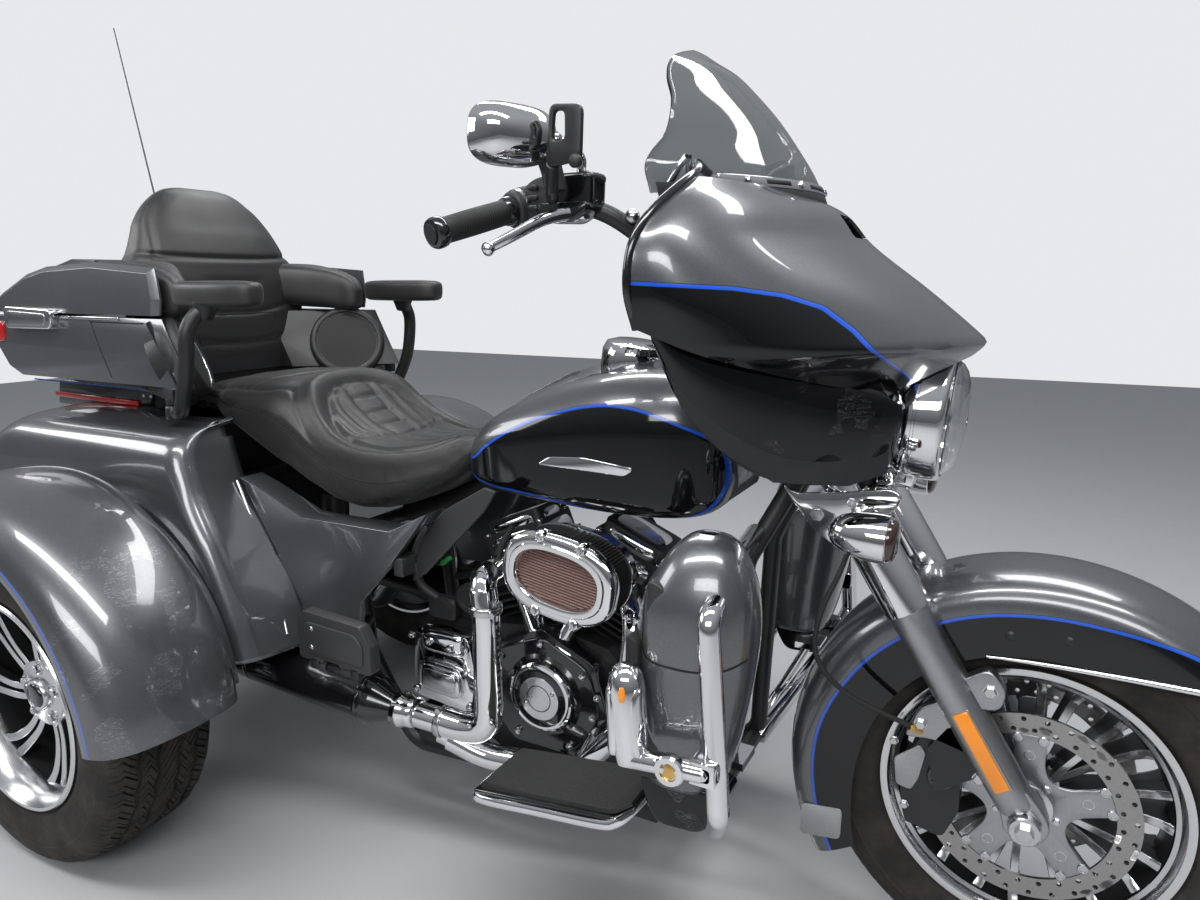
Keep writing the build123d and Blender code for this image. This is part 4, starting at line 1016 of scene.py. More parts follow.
softened("side_covers", grey, 9, segments=3)
softened("heat_deflectors", greyPlastic, 2)
stripLine = [(204, -259, 700), (246, -263, 620), (300, -272, 525), (340, -288, 458), (364, -300, 416)]
piece("side_strips",
    both([tube([(x + d, y - 3, z) for x, y, z in stripLine], 3.2, 8, 10) for d in (-5, 6)]), alloy, "chassis")
piece("side_strip_backs", both([tube([(x, y - 1, z) for x, y, z in stripLine], 6, 8, 8)]), deepBlack, "chassis")

# Leg shields: smooth shells with the round top, glove door seam, tube recess and black lower flap.

shieldShape = {
    "sections": [  # z, x back, x front, y outer, y inner, corner
        (385, 1164, 1280, -372, -252, 34), (430, 1156, 1294, -381, -246, 40), (490, 1150, 1306, -390, -240, 46),
        (560, 1148, 1317, -395, -238, 50), (620, 1150, 1322, -396, -238, 52), (670, 1162, 1318, -391, -242, 52),
        (704, 1180, 1308, -380, -250, 48), (730, 1198, 1294, -364, -262, 40), (748, 1216, 1277, -342, -280, 28),
        (755, 1232, 1262, -322, -300, 10)],
    "thick": 5,
}


def shieldLoop(z):
    rear, front, outer, inner, corner = readTable(shieldShape["sections"], z)
    ring = roundedCorners([(rear, outer), (front, outer), (front, inner), (rear, inner)], corner * 1.5, 12)
    return [(x, y, z) for x, y in ring]


shieldHeights = [385 + 9 * k for k in range(39)] + [732, 737, 741, 745, 748, 751, 753, 754.5, 755]
shieldGrid = grid([shieldLoop(z) for z in shieldHeights], loop=True)
shieldGrid = keepFaces(shieldGrid, lambda x, y, z: x > 1168 or z > 726)
shieldSkin = piece("shield_skins", both([shieldGrid]), grey, "chassis", thick=shieldShape["thick"], sharp=60)
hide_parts("leg_shields")
shieldTree = surfaceOf(shieldSkin)
doorSeam = [(1176, -420, 708),
    (1180, -420, 640), (1186, -420, 592), (1230, -420, 584), (1290, -420, 588), (1318, -420, 596)]
seamFlip = [(x, -y, z) for x, y, z in doorSeam]
piece("shield_seams", [laidLine(shieldTree, doorSeam, 3.2, look=(0, 1, 0), lift=0.4),
    laidLine(shieldTree, seamFlip, 3.2, look=(0, -1, 0), lift=0.4)], deepBlack, "chassis")
flap = slab(roundedCorners([(1166, 392), (1300, 392), (1288, 352), (1262, 322), (1196, 318), (1176, 350)], 16),
    -366, -300)
piece("shield_flaps", both([flap]), blackWorn, "chassis", bevel=6, segments=3)
piece("shield_backs", both([slab(roundedCorners([(1172, 400), (1206, 400), (1212, 690), (1186, 700)], 10),
    -384, -250)]), plastic, "chassis", bevel=4)
piece("shield_vents", both([slab(roundedCorners([(1158, 500), (1178, 500), (1180, 610), (1160, 620)], 8), -398, -360)]),
    deepBlack, "chassis", bevel=2)
print("stage: tank, fenders, body and shields")


# Sewn surfaces: each seam or ridge is (line in plan, height in mm, half width in mm); height below 0 is a channel.

def nearLine(points, line):
    best = np.full(len(points), 1e9)
    for a, b in zip(line, line[1:]):
        a, b = np.array(a[:2]), np.array(b[:2])
        run = b - a
        t = np.clip(((points - a) @ run) / max(1e-9, run @ run), 0, 1)
        best = np.minimum(best, np.linalg.norm(points - a - t[:, None] * run, axis=1))
    return best


def sewn(points, seams):
    lift = np.zeros(len(points))
    for line, height, width in seams:
        lift += height * np.exp(-(nearLine(points, smoothLine(line, 8)) / width) ** 2)
    return lift


# The puffing that filling gives a sewn skin: a short cloth run with pressure, each point kept within reach.
def puffed(shape, name, reach, voxel=6, frames=16):
    rough = piece(name + "_rough", [shape], leather, "chassis")
    block = rough.modifiers.new("even", "REMESH")
    block.mode = "VOXEL"
    block.voxel_size = voxel / 1000
    bakeDown(rough, 180)
    start = np.array([v.co for v in rough.data.vertices])
    cloth = rough.modifiers.new("cloth", "CLOTH")
    cloth.settings.use_pressure = True
    cloth.settings.uniform_pressure_force = 4
    cloth.settings.effector_weights.gravity = 0
    cloth.settings.quality = 4
    rough.parent = None
    for step in range(1, frames + 1):
        bpy.context.scene.frame_set(step)
    moved = np.array([v.co for v in rough.evaluated_get(bpy.context.evaluated_depsgraph_get()).data.vertices])
    push = moved - start
    far = np.linalg.norm(push, axis=1, keepdims=True)
    push *= np.minimum(1, reach / 1000 / np.maximum(far, 1e-9))
    rough.modifiers.clear()
    rough.data.vertices.foreach_set("co", (start + push).astype(np.float32).ravel())
    bpy.context.scene.frame_set(1)
    tree = surfaceOf(rough)
    bpy.data.objects.remove(rough)
    return tree


# Seat: one skin over both places, puffed, then ridges, panels and channels pressed into it.

seatShape = {
    "sections": [  # x, half width, bottom, top, drop from the crown to the edge
        (-78, 122, 812, 860, 18), (-60, 140, 808, 868, 24), (20, 160, 804, 880, 30), (76, 194, 802, 888, 40),
        (130, 210, 786, 893, 46), (225, 212, 738, 894, 50), (290, 208, 706, 872, 46), (340, 204, 680, 826, 36),
        (400, 200, 656, 790, 26), (480, 188, 646, 774, 24), (560, 158, 668, 780, 26), (630, 112, 706, 802, 26),
        (680, 66, 758, 824, 18), (700, 36, 782, 831, 12)],
    "cushion": 7,  # how far filling pushes the skin out
}
rimCurve = [(640, 96), (590, 132), (520, 160), (440, 176), (370, 170), (310, 142), (272, 84), (262, 0)]
innerCurve = [(620, 74), (570, 104), (510, 130), (440, 144), (374, 138), (322, 112), (292, 66), (284, 0)]
panelFront = [(404, 140), (424, 96), (438, 48), (442, 0)]


def mirroredLine(line):
    return line + [(x, -y) for x, y in reversed(line[:-1])]


def flipLine(line):
    return [(x, -y) for x, y in line]


seatSeams = [(mirroredLine(rimCurve), 15, 18), (mirroredLine(innerCurve), -10, 5.5), (mirroredLine(panelFront), -9, 5)]
for line in ([(286, 34), (330, 37), (390, 35), (438, 30)],
        [(296, 70), (340, 78), (390, 76), (428, 66)], [(318, 106), (350, 112), (390, 110), (412, 98)],
        [(436, 62), (480, 66), (540, 58), (592, 44), (640, 30)], [(442, 20), (500, 26), (560, 20), (610, 8)]):
    seatSeams += [(line, -7.5, 4.4), (flipLine(line), -7.5, 4.4)]
for x in (318, 352, 388):
    seatSeams.append(([(x, -35), (x + 3, 0), (x, 35)], -6.5, 4))
for line in ([(-60, 112), (20, 132), (90, 160), (150, 172), (215, 172), (262, 150)],
        [(262, 150), (300, 178), (360, 192), (430, 190), (500, 176), (570, 142), (640, 92)]):
    seatSeams += [(line, -4, 4), (flipLine(line), -4, 4)]
seatSeams.append((mirroredLine([(160, 168), (190, 90), (198, 0)]), -3.5, 4))
seatSeams.append((mirroredLine([(60, 60), (100, 44), (120, 0)]), 3, 26))


def seatLoop(x, inset=0.0):
    half, low, high, drop = readTable(seatShape["sections"], x)
    half, low, high = half - inset, low + inset, high - inset
    right = [(-0.62 * half, low), (-half + 14, low + 4),
        (-half, low + 0.35 * (high - drop - low)), (-half, high - drop - 8), (-half + 7, high - drop + 7),
        (-0.84 * half, high - 0.36 * drop), (-0.62 * half, high - 0.08 * drop), (-0.3 * half, high + 1), (0, high + 2)]
    ring = right + [(-y, z) for y, z in reversed(right[:-1])]
    return [(x, y, z) for y, z in ring]


def seatSkin():
    rough = grid([seatLoop(x, 5) for x in [-76 + 12 * k for k in range(65)] + [698]], loop=True, capped=True)
    tree = puffed(rough, "seat", seatShape["cushion"])
    rows = []
    stations = [-78, -77, -75, -71] + [-66 + 3.1 * k for k in range(245)] + [694, 697.5, 699.4, 700]
    for x in stations:
        loop = seatLoop(x)
        ring = smoothLine([(p[1], p[2]) for p in loop], 8)
        rows.append([(x, y, z) for y, z in ring])
    points = np.array([p for row in rows for p in row])
    for i, p in enumerate(points):
        near, normal, _, gap = tree.find_nearest(at(*p))
        if near is not None and gap < 0.02 and -60 < p[0] < 670:
            points[i] = p + (np.array(back(near)) - p) * 0.75
    up = points[:, 2] - np.array([readTable(seatShape["sections"], x)[1] for x in points[:, 0]])
    tall = np.array([readTable(seatShape["sections"], x)[2] - readTable(seatShape["sections"], x)[1]
        for x in points[:, 0]])
    onTop = np.clip((up / tall - 0.5) / 0.22, 0, 1)
    points[:, 2] += sewn(points[:, :2], seatSeams) * onTop
    wide = len(rows[0])
    shape = grid([[tuple(points[i * wide + j]) for j in range(wide)] for i in range(len(rows))], capped=True)
    faces = shape[1] + [(i * wide, i * wide + wide - 1, (i + 1) * wide + wide - 1, (i + 1) * wide)
        for i in range(len(rows) - 1)]
    return shape[0], faces


seatPiece = piece("seat_cover", [seatSkin()], leather, "chassis", sharp=180)
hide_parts("seat")
seatTree = surfaceOf(seatPiece)


# rows of thread: short raised dashes laid along a line on a surface
def threadRow(tree, line, look, gap=5.2, long=3.2, width=0.9, shift=0.0):
    dense = [at(*p) for p in smoothLine(line, 10)]
    way = Vector(look).normalized()
    shapes, travelled, target = [], 0.0, 0.0
    for a, b in zip(dense, dense[1:]):
        run = (b - a).length * 1000
        while target <= travelled + run:
            p = a + (b - a) * ((target - travelled) / max(run, 1e-6))
            spot, normal, _, _ = tree.ray_cast(p - way * 0.12, way, 0.24)
            if spot is not None:
                normal = normal if normal.dot(way) < 0 else -normal
                along = (b - a).normalized()
                side = along.cross(normal).normalized()
                middle = spot + side * shift / 1000
                ends = [middle + along * (s * long / 2000) for s in (-1, 1)]
                corners = [back(e + side * (w * width / 2000) + normal * 0.00012) for e in ends for w in (-1, 1)]
                top = [back(e + normal * 0.0007) for e in ends]
                shapes.append(([*corners, *top], [(0, 1, 4), (2, 5, 3), (0, 4, 5, 2), (1, 3, 5, 4)]))
            target += gap
        travelled += run
    return shapes


def planLine(line, z=900):
    return [(x, y, z) for x, y in line]


seatThread = []
outer = [(262, 150), (300, 178), (360, 192), (430, 190), (500, 176), (570, 142), (640, 92)]
for line in (outer, flipLine(outer)):
    for shift in (-3.6, 3.6):
        seatThread += threadRow(seatTree, planLine(line), (0, 0, -1), shift=shift)
for line in (mirroredLine(panelFront), mirroredLine(innerCurve)):
    seatThread += threadRow(seatTree, planLine(line), (0, 0, -1), shift=4.5)
sideSeam = [(-40, -300, 845), (60, -300, 846), (140, -300, 838),
    (220, -300, 828), (290, -300, 800), (350, -300, 758), (420, -300, 722), (500, -300, 708), (560, -300, 716)]
for look, line in (((0, 1, 0), sideSeam), ((0, -1, 0), [(x, -y, z) for x, y, z in sideSeam])):
    seatThread += threadRow(seatTree, line, look, shift=2.2)
    seatThread += threadRow(seatTree, line, look, shift=-2.2)
piece("seat_thread", seatThread, thread, "chassis")
welts = []
for look, line in (((0, 1, 0), sideSeam), ((0, -1, 0), [(x, -y, z) for x, y, z in sideSeam])):
    welts.append(laidLine(seatTree, line, 2.2, 0.5, look, reach=200))
piece("seat_welts", welts, deepBlack, "chassis")
print("stage: seat")

# Backrest: tall pad with a soft edge, the wings beside it and the seams across them.

backShape = {
    "pad": [  # z, half width, x back, x front
        (892, 186, -120, -74), (930, 206, -134, -74), (980, 222, -150, -76), (1040, 236, -200, -80),
        (1092, 238, -212, -84), (1124, 226, -212, -90), (1157, 203, -212, -97), (1200, 184, -211, -113),
        (1224, 174, -210, -126),
        (1260, 149, -207, -143), (1285, 122, -204, -156), (1300, 98, -202, -166), (1308, 76, -200, -174),
        (1312, 48, -196, -180)],
    "wing": [  # x, outer y, inner y, bottom, top
        (-238, -262, -120, 1060, 1136), (-200, -268, -120, 1050, 1142), (-120, -272, -120, 1040, 1140),
        (-60, -273, -150, 1032, 1137), (0, -273, -188, 1028, 1126), (40, -272, -212, 1024, 1112),
        (66, -268, -224, 1026, 1096), (78, -258, -236, 1040, 1074)],
}


def roundLoop(middle, size, power, count, place):
    ring = []
    for k in range(count):
        a = 2 * math.pi * k / count
        c, s = math.cos(a), math.sin(a)
        ring.append(place(middle[0] + size[0] * math.copysign(abs(c) ** (2 / power), c),
            middle[1] + size[1] * math.copysign(abs(s) ** (2 / power), s)))
    return ring


def padRows():
    rows = []
    heights = [892, 894, 898] + [904 + 4.4 * k for k in range(92)] + [1307, 1309.5, 1311, 1312]
    for z in heights:
        half, rear, front = readTable(backShape["pad"], z)
        crown = 9 * math.sin(math.pi * min(1, max(0, (z - 900) / 400))) ** 0.7
        ring = roundLoop(((rear + front) / 2, 0), ((front - rear) / 2, half), 3.4, 120, lambda x, y: (x, y, z))
        rows.append([(x + (crown * (1 - (y / half) ** 2) if x > (rear + front) / 2 else 0), y, z) for x, y, z in ring])
    return rows


padGrid = grid(padRows(), loop=True, capped=True)
padTree = puffed(padGrid, "backrest", 5)
padPoints = np.array(padGrid[0])
for i, p in enumerate(padPoints):
    near, _, _, gap = padTree.find_nearest(at(*p))
    if near is not None and gap < 0.02:
        padPoints[i] = p + (np.array(back(near)) - p) * 0.6
front = np.array([sum(readTable(backShape["pad"], z)[1:]) / 2 for z in padPoints[:, 2]])
flat = np.stack([padPoints[:, 1], padPoints[:, 2]], axis=1)
backSeams = [([(-215, 1158), (-120, 1150), (0, 1148), (120, 1150), (215, 1158)], -7, 5),
    ([(-215, 1066), (-150, 1040), (-60, 1024), (0, 1022), (60, 1024), (150, 1040), (215, 1066)], -5, 5), ([(-104, 1300),
    (-128, 1270), (-158, 1220), (-172, 1156)], -4.5, 4.5), ([(104, 1300), (128, 1270), (158, 1220), (172, 1156)],
    -4.5, 4.5), ([(-172, 1150), (-160, 1090), (-140, 1040)], -4, 5), ([(172, 1150), (160, 1090), (140, 1040)], -4, 5),
    ([(-60, 1098), (0, 1092), (60, 1098)], -2.5, 9), ([(-120, 960), (0, 950), (120, 960)], -3, 8)]
padPoints[:, 0] += sewn(flat, backSeams) * np.clip((padPoints[:, 0] - front) / 14, 0, 1)
backPad = piece("backrest_pad", [([tuple(p) for p in padPoints], padGrid[1])], leather, "chassis", sharp=180)
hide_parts("backrest")


def wingRows():
    rows = []
    for k in range(56):
        x = -238 + 316 * k / 55
        outer, inner, low, high = readTable(backShape["wing"], x)
        ring = roundLoop(((outer + inner) / 2, (low + high) / 2),
            ((inner - outer) / 2, (high - low) / 2), 3.6, 64, lambda y, z: (x, y, z))
        rows.append([(px, py, pz - 3.5 * math.exp(-((py + 246) / 4) ** 2) * (1 if pz > (low + high) / 2 else 0))
            for px, py, pz in ring])
    return rows


wings = piece("backrest_wings", both([grid(wingRows(), loop=True, capped=True)]), leather, "chassis", sharp=180)
wingTree = surfaceOf(wings)
backTree = surfaceOf(backPad)
wingThread = []
for side in (-1, 1):
    for shift in (-4.2, 4.2):
        wingThread += threadRow(wingTree,
            [(x, side * 246, 1150) for x in (-150, -100, -40, 20, 60)], (0, 0, -1), shift=shift)
for line, height in ((backSeams[0][0], -5), (backSeams[2][0], 5), (backSeams[3][0], 5)):
    wingThread += threadRow(backTree, [(0, y, z) for y, z in line], (-1, 0, 0), shift=height)
piece("backrest_thread", wingThread, thread, "chassis")

# Armrests: boat-shaped pads with an upright side band, a socket cup, and a bent satin tube.

armShape = {
    "tube": [(92, -300, 839), (116, -309, 838), (132, -314, 846), (146, -318, 872), (162, -320, 910), (172, -320, 955),
             (177, -318, 1000), (181, -304, 1026), (188, -284, 1044)],
    "radius": 14.5,
    "pad": [  # z, half length, half width
        (1047, 92, 22), (1049, 106, 31), (1053, 114, 36), (1060, 117, 38), (1074, 118, 39), (1086, 117.5, 38.6),
        (1091, 114.5, 36), (1094, 108, 31), (1096.4, 92, 21), (1097.4, 60, 9)],
}


def padOutline(z, a, b):
    ring = []
    for k in range(72):
        t = 2 * math.pi * k / 72
        c, s = math.cos(t), math.sin(t)
        ring.append((203 + a * math.copysign(abs(c) ** 0.72, c),
            -266 + b * (1 + 0.10 * c) * math.copysign(abs(s) ** 0.8, s), z))
    return ring


armPad = grid([padOutline(*row) for row in armShape["pad"]], loop=True, capped=True)
armTube = tube(armShape["tube"], armShape["radius"], 8, 20)
armCup = turned((186, -285, 1024), (0.12, 0.15, 1), [(0, 15.5), (4, 17), (16, 21), (24, 24), (30, 24)], 28)
armFoot = turned((92, -300, 824), (0, 0, 1), [(0, 17), (2, 18.5), (22, 18.5), (26, 17), (28, 12)], 32)
armBolt = turned((92, -300, 851), (0, 0, 1), [(0, 9), (5, 9), (8, 6), (8.5, 1)], 6)
for name, turn in (("right", lambda s: s), ("left", flipped)):
    arm = piece(f"armrest_tube_{name}", [turn(armTube), turn(armCup)], satin, f"armrest_{name}", sharp=60)
    pad = piece(f"armrest_pad_{name}", [turn(armPad)], leatherPanel, f"armrest_{name}", sharp=60, levels=1)
    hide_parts(f"armrest_{name}")
    piece(f"armrest_pivot_{name}", [turn(armFoot), turn(armBolt)], satin, f"armrest_{name}", sharp=50)
    padTop = surfaceOf(pad)
    flipY = 1 if name == "right" else -1
    welt = [(203 + 108 * math.cos(t), flipY * (-266 + 29 * math.sin(t)), 1120)
        for t in (2 * math.pi * k / 24 for k in range(25))]
    piece(f"armrest_welt_{name}", [laidLine(padTop, welt, 1.6, 0.3, (0, 0, -1), 2)], deepBlack, f"armrest_{name}")
print("stage: backrest and armrests")

# Trunk: lid and box with soft corners, latch, seam strip, lamps, pods and the plinth with its lines.

softened("trunk_lid", grey, 18, angle=9, segments=5)
box = softened("trunk_box", [grey, satin], 8, angle=16, segments=4)
for face in box.data.polygons:  # front edges and the walls beside the back are black
    x, y, z = back(face.center)
    if face.normal.x > 0.35 or (x > -82 and abs(y) < 292):
        face.material_index = 1
boxTree = surfaceOf(box)
trunkSeams = []
for side in (-1, 1):
    trunkSeams.append(laidLine(boxTree,
        [(-162, side * 400, 1016), (-140, side * 400, 960), (-108, side * 400, 896)], 3, 0.4, (0, -side, 0), 4, 120))
    trunkSeams.append(laidLine(boxTree,
        [(-162, side * 400, 1012), (-60, side * 400, 1012), (20, side * 400, 1012)], 3, 0.4, (0, -side, 0), 4, 120))
piece("trunk_seams", trunkSeams, deepBlack, "chassis")
edgeTrim = [tube([(36, -301, 1014), (60, -301, 976), (86, -299, 926), (104, -297, 890)], 7, 6, 10, oval=0.6)]
piece("trunk_edges", both(edgeTrim), blackGlossPart, "chassis")
latchPlate = slab(roundedCorners([(-462, 992), (-282, 994), (-276, 1036), (-462, 1042)], 14), -318, -298)
latchSlot = slab(roundedCorners([(-446, 1001), (-300, 1002), (-296, 1027), (-446, 1032)], 9), -319.6, -317)
piece("trunk_latch", [latchPlate], chrome, "chassis", bevel=3, segments=3)
piece("trunk_latch_slot", [latchSlot], boltSteel, "chassis", bevel=1)
piece("trunk_seam_strip", [slab([(-552, 1018), (-466, 1018), (-466, 1024), (-552, 1024)], -303.5, -299),
    slab([(-270, 1017), (-60, 1017), (-60, 1023), (-270, 1023)], -303.5, -299)], chrome, "chassis", bevel=1)
cornerLamp = slab(roundedCorners([(-551, 956), (-500, 962), (-500, 1006), (-556, 1006)], 10), -304, -292)
piece("trunk_corner_lamps", both([cornerLamp]), redLens, "chassis", bevel=2.5)
rearBand = slab(roundedCorners([(-270, 930), (270, 930), (270, 962), (-270, 962)], 12), -553, -545, "x")
piece("trunk_rear_lamp", [rearBand], redLens, "chassis", bevel=3)
softened("trunk_rack", satin, 3)
piece("plinth_strips",
    both([slab([(-500, 821), (-178, 817), (-178, 829), (-500, 833)], -208, -201)]), redLens, "chassis", bevel=1.5)
plinth = slab(roundedCorners([(-505, 800), (-150, 800), (-120, 862), (-490, 862)], 10), -200, 200)
piece("trunk_plinth", [plinth], blackGlossPart, "chassis", bevel=4)
piece("plinth_line", both([slab([(-498, 866), (-70, 866), (-70, 869), (-498, 869)], -252, -250)]), stripe, "chassis")
piece("plinth_dots", [turned((-160 + 26 * k, -201, 842), (0, -1, 0), [(0, 4), (1.5, 3.6), (2, 1)], 14)
    for k in (0, 1)], labelWhite, "chassis")
tailLamps = slab(roundedCorners([(-372, 560), (-306, 556), (-306, 690), (-366, 690)], 16), -602, -588, "x")
piece("tail_lamps", both([tailLamps]), redLens, "chassis", bevel=4)
piece("tail_lamp_rings", both([tube([(-600, y, z) for y, z in roundedCorners([(-376, 554),
    (-302, 550), (-302, 696), (-370, 696)], 18)], 3.4, 1, 8)]), chrome, "chassis")
softened("antenna", satin, 0.4)

# Speaker pods: thick black ring, thin light ring and a flat dark mesh face.

podNormal = Vector((0.65, 0.67, 0.35)).normalized()
podCorner = Vector((121 - 73 * 0.67 / 0.65, -300 + 73, 942))
podSteps = {
    "ring": [(-30, 84), (-26, 90), (-10, 92), (8, 91), (14, 88.5), (17, 85), (18, 80), (16.5, 76.5), (12, 76)],
    "lightRing": [(11.5, 76), (13.5, 75.5), (14, 74.4), (13, 73.4), (11, 73.4)],
    "mesh": [(9, 73.8), (12, 72), (12.6, 40), (12.8, 1)],
}
for part, mat in (("ring", plastic), ("lightRing", alloy),
        ("mesh", netFinish("pod_mesh", (0.012, 0.012, 0.012), (0.05, 0.05, 0.05), 260, 0.0, 0.7))):
    piece("pod_" + part,
        both([turned(podCorner, podNormal, podSteps[part], 64)]), mat, "chassis", sharp=50)
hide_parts("speaker_pods")
podBack = turned(podCorner - podNormal * 60, podNormal, [(0, 60), (30, 78), (52, 82)], 48)
piece("pod_backs", both([podBack]), plastic, "chassis")
print("stage: trunk and speaker pods")


# Wheels. Each is built round its own axle line; side is +1 where the face looks to the left.

def onWheel(centre, radius, degrees, y=0.0):
    a = math.radians(degrees)
    return (centre[0] + radius * math.cos(a), centre[1] + y, centre[2] + radius * math.sin(a))


# Tread: columns across (y, part of the depth, lug share), stations round it in each pitch (phase, groove, sipe).

rearTyreChoice = {
    "pitches": 66, "depth": 6.5, "zig": 3.2,
    "crown": [(0, 324), (20, 323.9), (54, 322.2), (80, 318), (90, 311), (95, 305), (99, 296)],
    "wall": [(102, 284), (103.4, 276), (102.2, 274), (103.2, 262), (103, 250), (101.6, 232), (100.4, 222), (99, 216),
             (95.5, 211), (91.5, 208.6), (90, 206), (86.5, 197), (84, 190)],
    "columns": [(0, 0, 0.4), (15, 0, 0.4), (17.5, 1, 0), (23, 1, 0), (25.5, 0, 0.7), (38, 0, 0.7), (49, 0, 0.7),
                (51.5, 1, 0), (58, 1, 0), (60.5, 0, 0.9), (70, 0, 0.9), (80, 0, 0.9), (88, 0, 0.8), (95, 0, 0.6),
                (98.6, 0, 0.0)],
    "skew": [(0, 0.0), (20, 0.85), (54, -0.65), (90, 0.35), (103, 0.4)],
    "stations": [(0.0, 1, 0), (0.10, 1, 0), (0.14, 0, 0), (0.42, 0, 0), (0.445, 0, 1), (0.485, 0, 1), (0.51, 0, 0),
                 (0.96, 0, 0)],
}
frontTyreChoice = {
    "pitches": 34, "depth": 5.5, "zig": 0.0,
    "crown": [(0, 320), (10, 319.7), (18, 319), (36, 312), (46, 304.5), (55, 296)],
    "wall": [(60, 286), (63, 278), (64.6, 272), (63.4, 270), (64.6, 260), (64, 248), (61.5, 236), (57.4, 227),
             (55.6, 223), (52, 219), (46, 214), (43, 208), (40, 203)],
    "columns": [(0, 0, 0.0), (7, 0, 0.0), (9, 1, 0), (13, 1, 0), (15, 0, 1), (22, 0, 1), (30, 0, 1), (38, 0, 1),
                (46, 0, 0.9), (52, 0, 0.5), (54.6, 0, 0.0)],
    "skew": [(0, 0.0), (14, 0.1), (34, 0.9), (55, 1.5), (65, 1.6)],
    "stations": [(0.0, 1, 0), (0.11, 1, 0), (0.14, 0, 0), (0.35, 0, 0), (0.6, 0, 0), (0.62, 0, 1), (0.66, 0, 1),
                 (0.68, 0, 0), (0.96, 0, 0)],
}


def treadedTyre(name, body, centre, choice):
    half = list(choice["columns"])
    full = [(-y, deep, lug) for y, deep, lug in reversed(half[1:])] + half
    pitch = 360 / choice["pitches"]
    rows = []
    for k in range(choice["pitches"]):
        for phase, groove, sipe in choice["stations"]:
            wave = choice["zig"] * (abs(2 * ((k + phase) % 2) - 2) - 1)
            ring = []
            for y, r in reversed(choice["wall"]):
                skew = -readTable(choice["skew"], y)[0]
                ring.append(onWheel(centre, r, (k + phase + skew) * pitch, -y))
            for y, deep, lug in full:
                skew = math.copysign(readTable(choice["skew"], abs(y))[0], y)
                moved = y + wave * (1 if abs(y) < 70 else max(0, (95 - abs(y)) / 25))
                r = readTable(choice["crown"], abs(y))[0]
                r -= choice["depth"] * max(deep, lug * groove, 0.62 * lug * sipe)
                ring.append(onWheel(centre, r, (k + phase + skew) * pitch, moved))
            for y, r in choice["wall"]:
                ring.append(onWheel(centre, r, (k + phase + readTable(choice["skew"], y)[0]) * pitch, y))
            rows.append(ring)
    rows.append(rows[0])
    made = piece(name + "_treads", [grid(rows)], tyreBlack, body, sharp=30)
    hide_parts(name)
    return made


# spoke with a dark body and a machined cap; path points are (radius, degrees, y of the face)
def spoke(centre, path, width, deep, side):
    line = smoothLine(path, 5)
    caps, dark = [], []
    points = [Vector(onWheel(centre, r, a, y)) for r, a, y in line]
    for i, p in enumerate(points):
        run = (points[min(i + 1, len(points) - 1)] - points[max(i - 1, 0)]).normalized()
        face = Vector((0, side, 0))
        across = run.cross(face).normalized()
        part = i / (len(points) - 1)
        w = (width[0] + (width[1] - width[0]) * part) / 2
        d = deep[0] + (deep[1] - deep[0]) * part
        caps.append([tuple(p + across * a - face * b)
            for a, b in ((-w, 2.4), (-w, 0.8), (-w + 0.9, 0), (w - 0.9, 0), (w, 0.8), (w, 2.4))])
        dark.append([tuple(p + across * a - face * b)
            for a, b in ((-w + 0.6, 1.6), (w - 0.6, 1.6), (w - 1.4, d), (-w + 1.4, d))])
    return grid(caps, loop=True, capped=True), grid(dark, loop=True, capped=True)


# flat ring with rows of drilled holes, lying across Y at the given place
def drilledRing(centre, y, thick, rings, holes, holeRadius):
    shapes = []
    turns = [2 * math.pi * k / 16 for k in range(16)]
    for row, (inner, outer) in enumerate(rings):
        middle = (inner + outer) / 2
        halfAngle = 180 / holes
        for k in range(holes):
            at0 = (k + 0.5 * row) * 360 / holes
            rows = []
            for q, hole in ((y - thick / 2, 1), (y - thick / 2, 0), (y + thick / 2, 0), (y + thick / 2, 1)):
                ring = []
                for t in turns:
                    c, s = math.cos(t), math.sin(t)
                    if hole:
                        ring.append(onWheel(centre,
                            middle + holeRadius * s, at0 + math.degrees(holeRadius * c / middle), q))
                    else:
                        m = max(abs(c), abs(s))
                        ring.append(onWheel(centre, middle + (outer - inner) / 2 * s / m, at0 + halfAngle * c / m, q))
                rows.append(ring)
            rows.append(rows[0])
            shapes.append(grid(rows, loop=True))
    return shapes


def hexNut(place, direction, radius, height, dome=0.3):
    return turned(place, direction, [(0, radius * 1.25), (1.2, radius * 1.25),
        (1.3, radius), (height - 1, radius), (height, radius * 0.86), (height + 0.1, radius * dome)], 6)


def buttonBolt(place, direction, radius, height=3.0):
    return turned(place,
        direction, [(0, radius), (height * 0.5, radius), (height * 0.85, radius * 0.85), (height, radius * 0.6),
        (height + 0.01, radius * 0.42), (height * 0.45, radius * 0.4), (height * 0.44, 0.05)], 18)


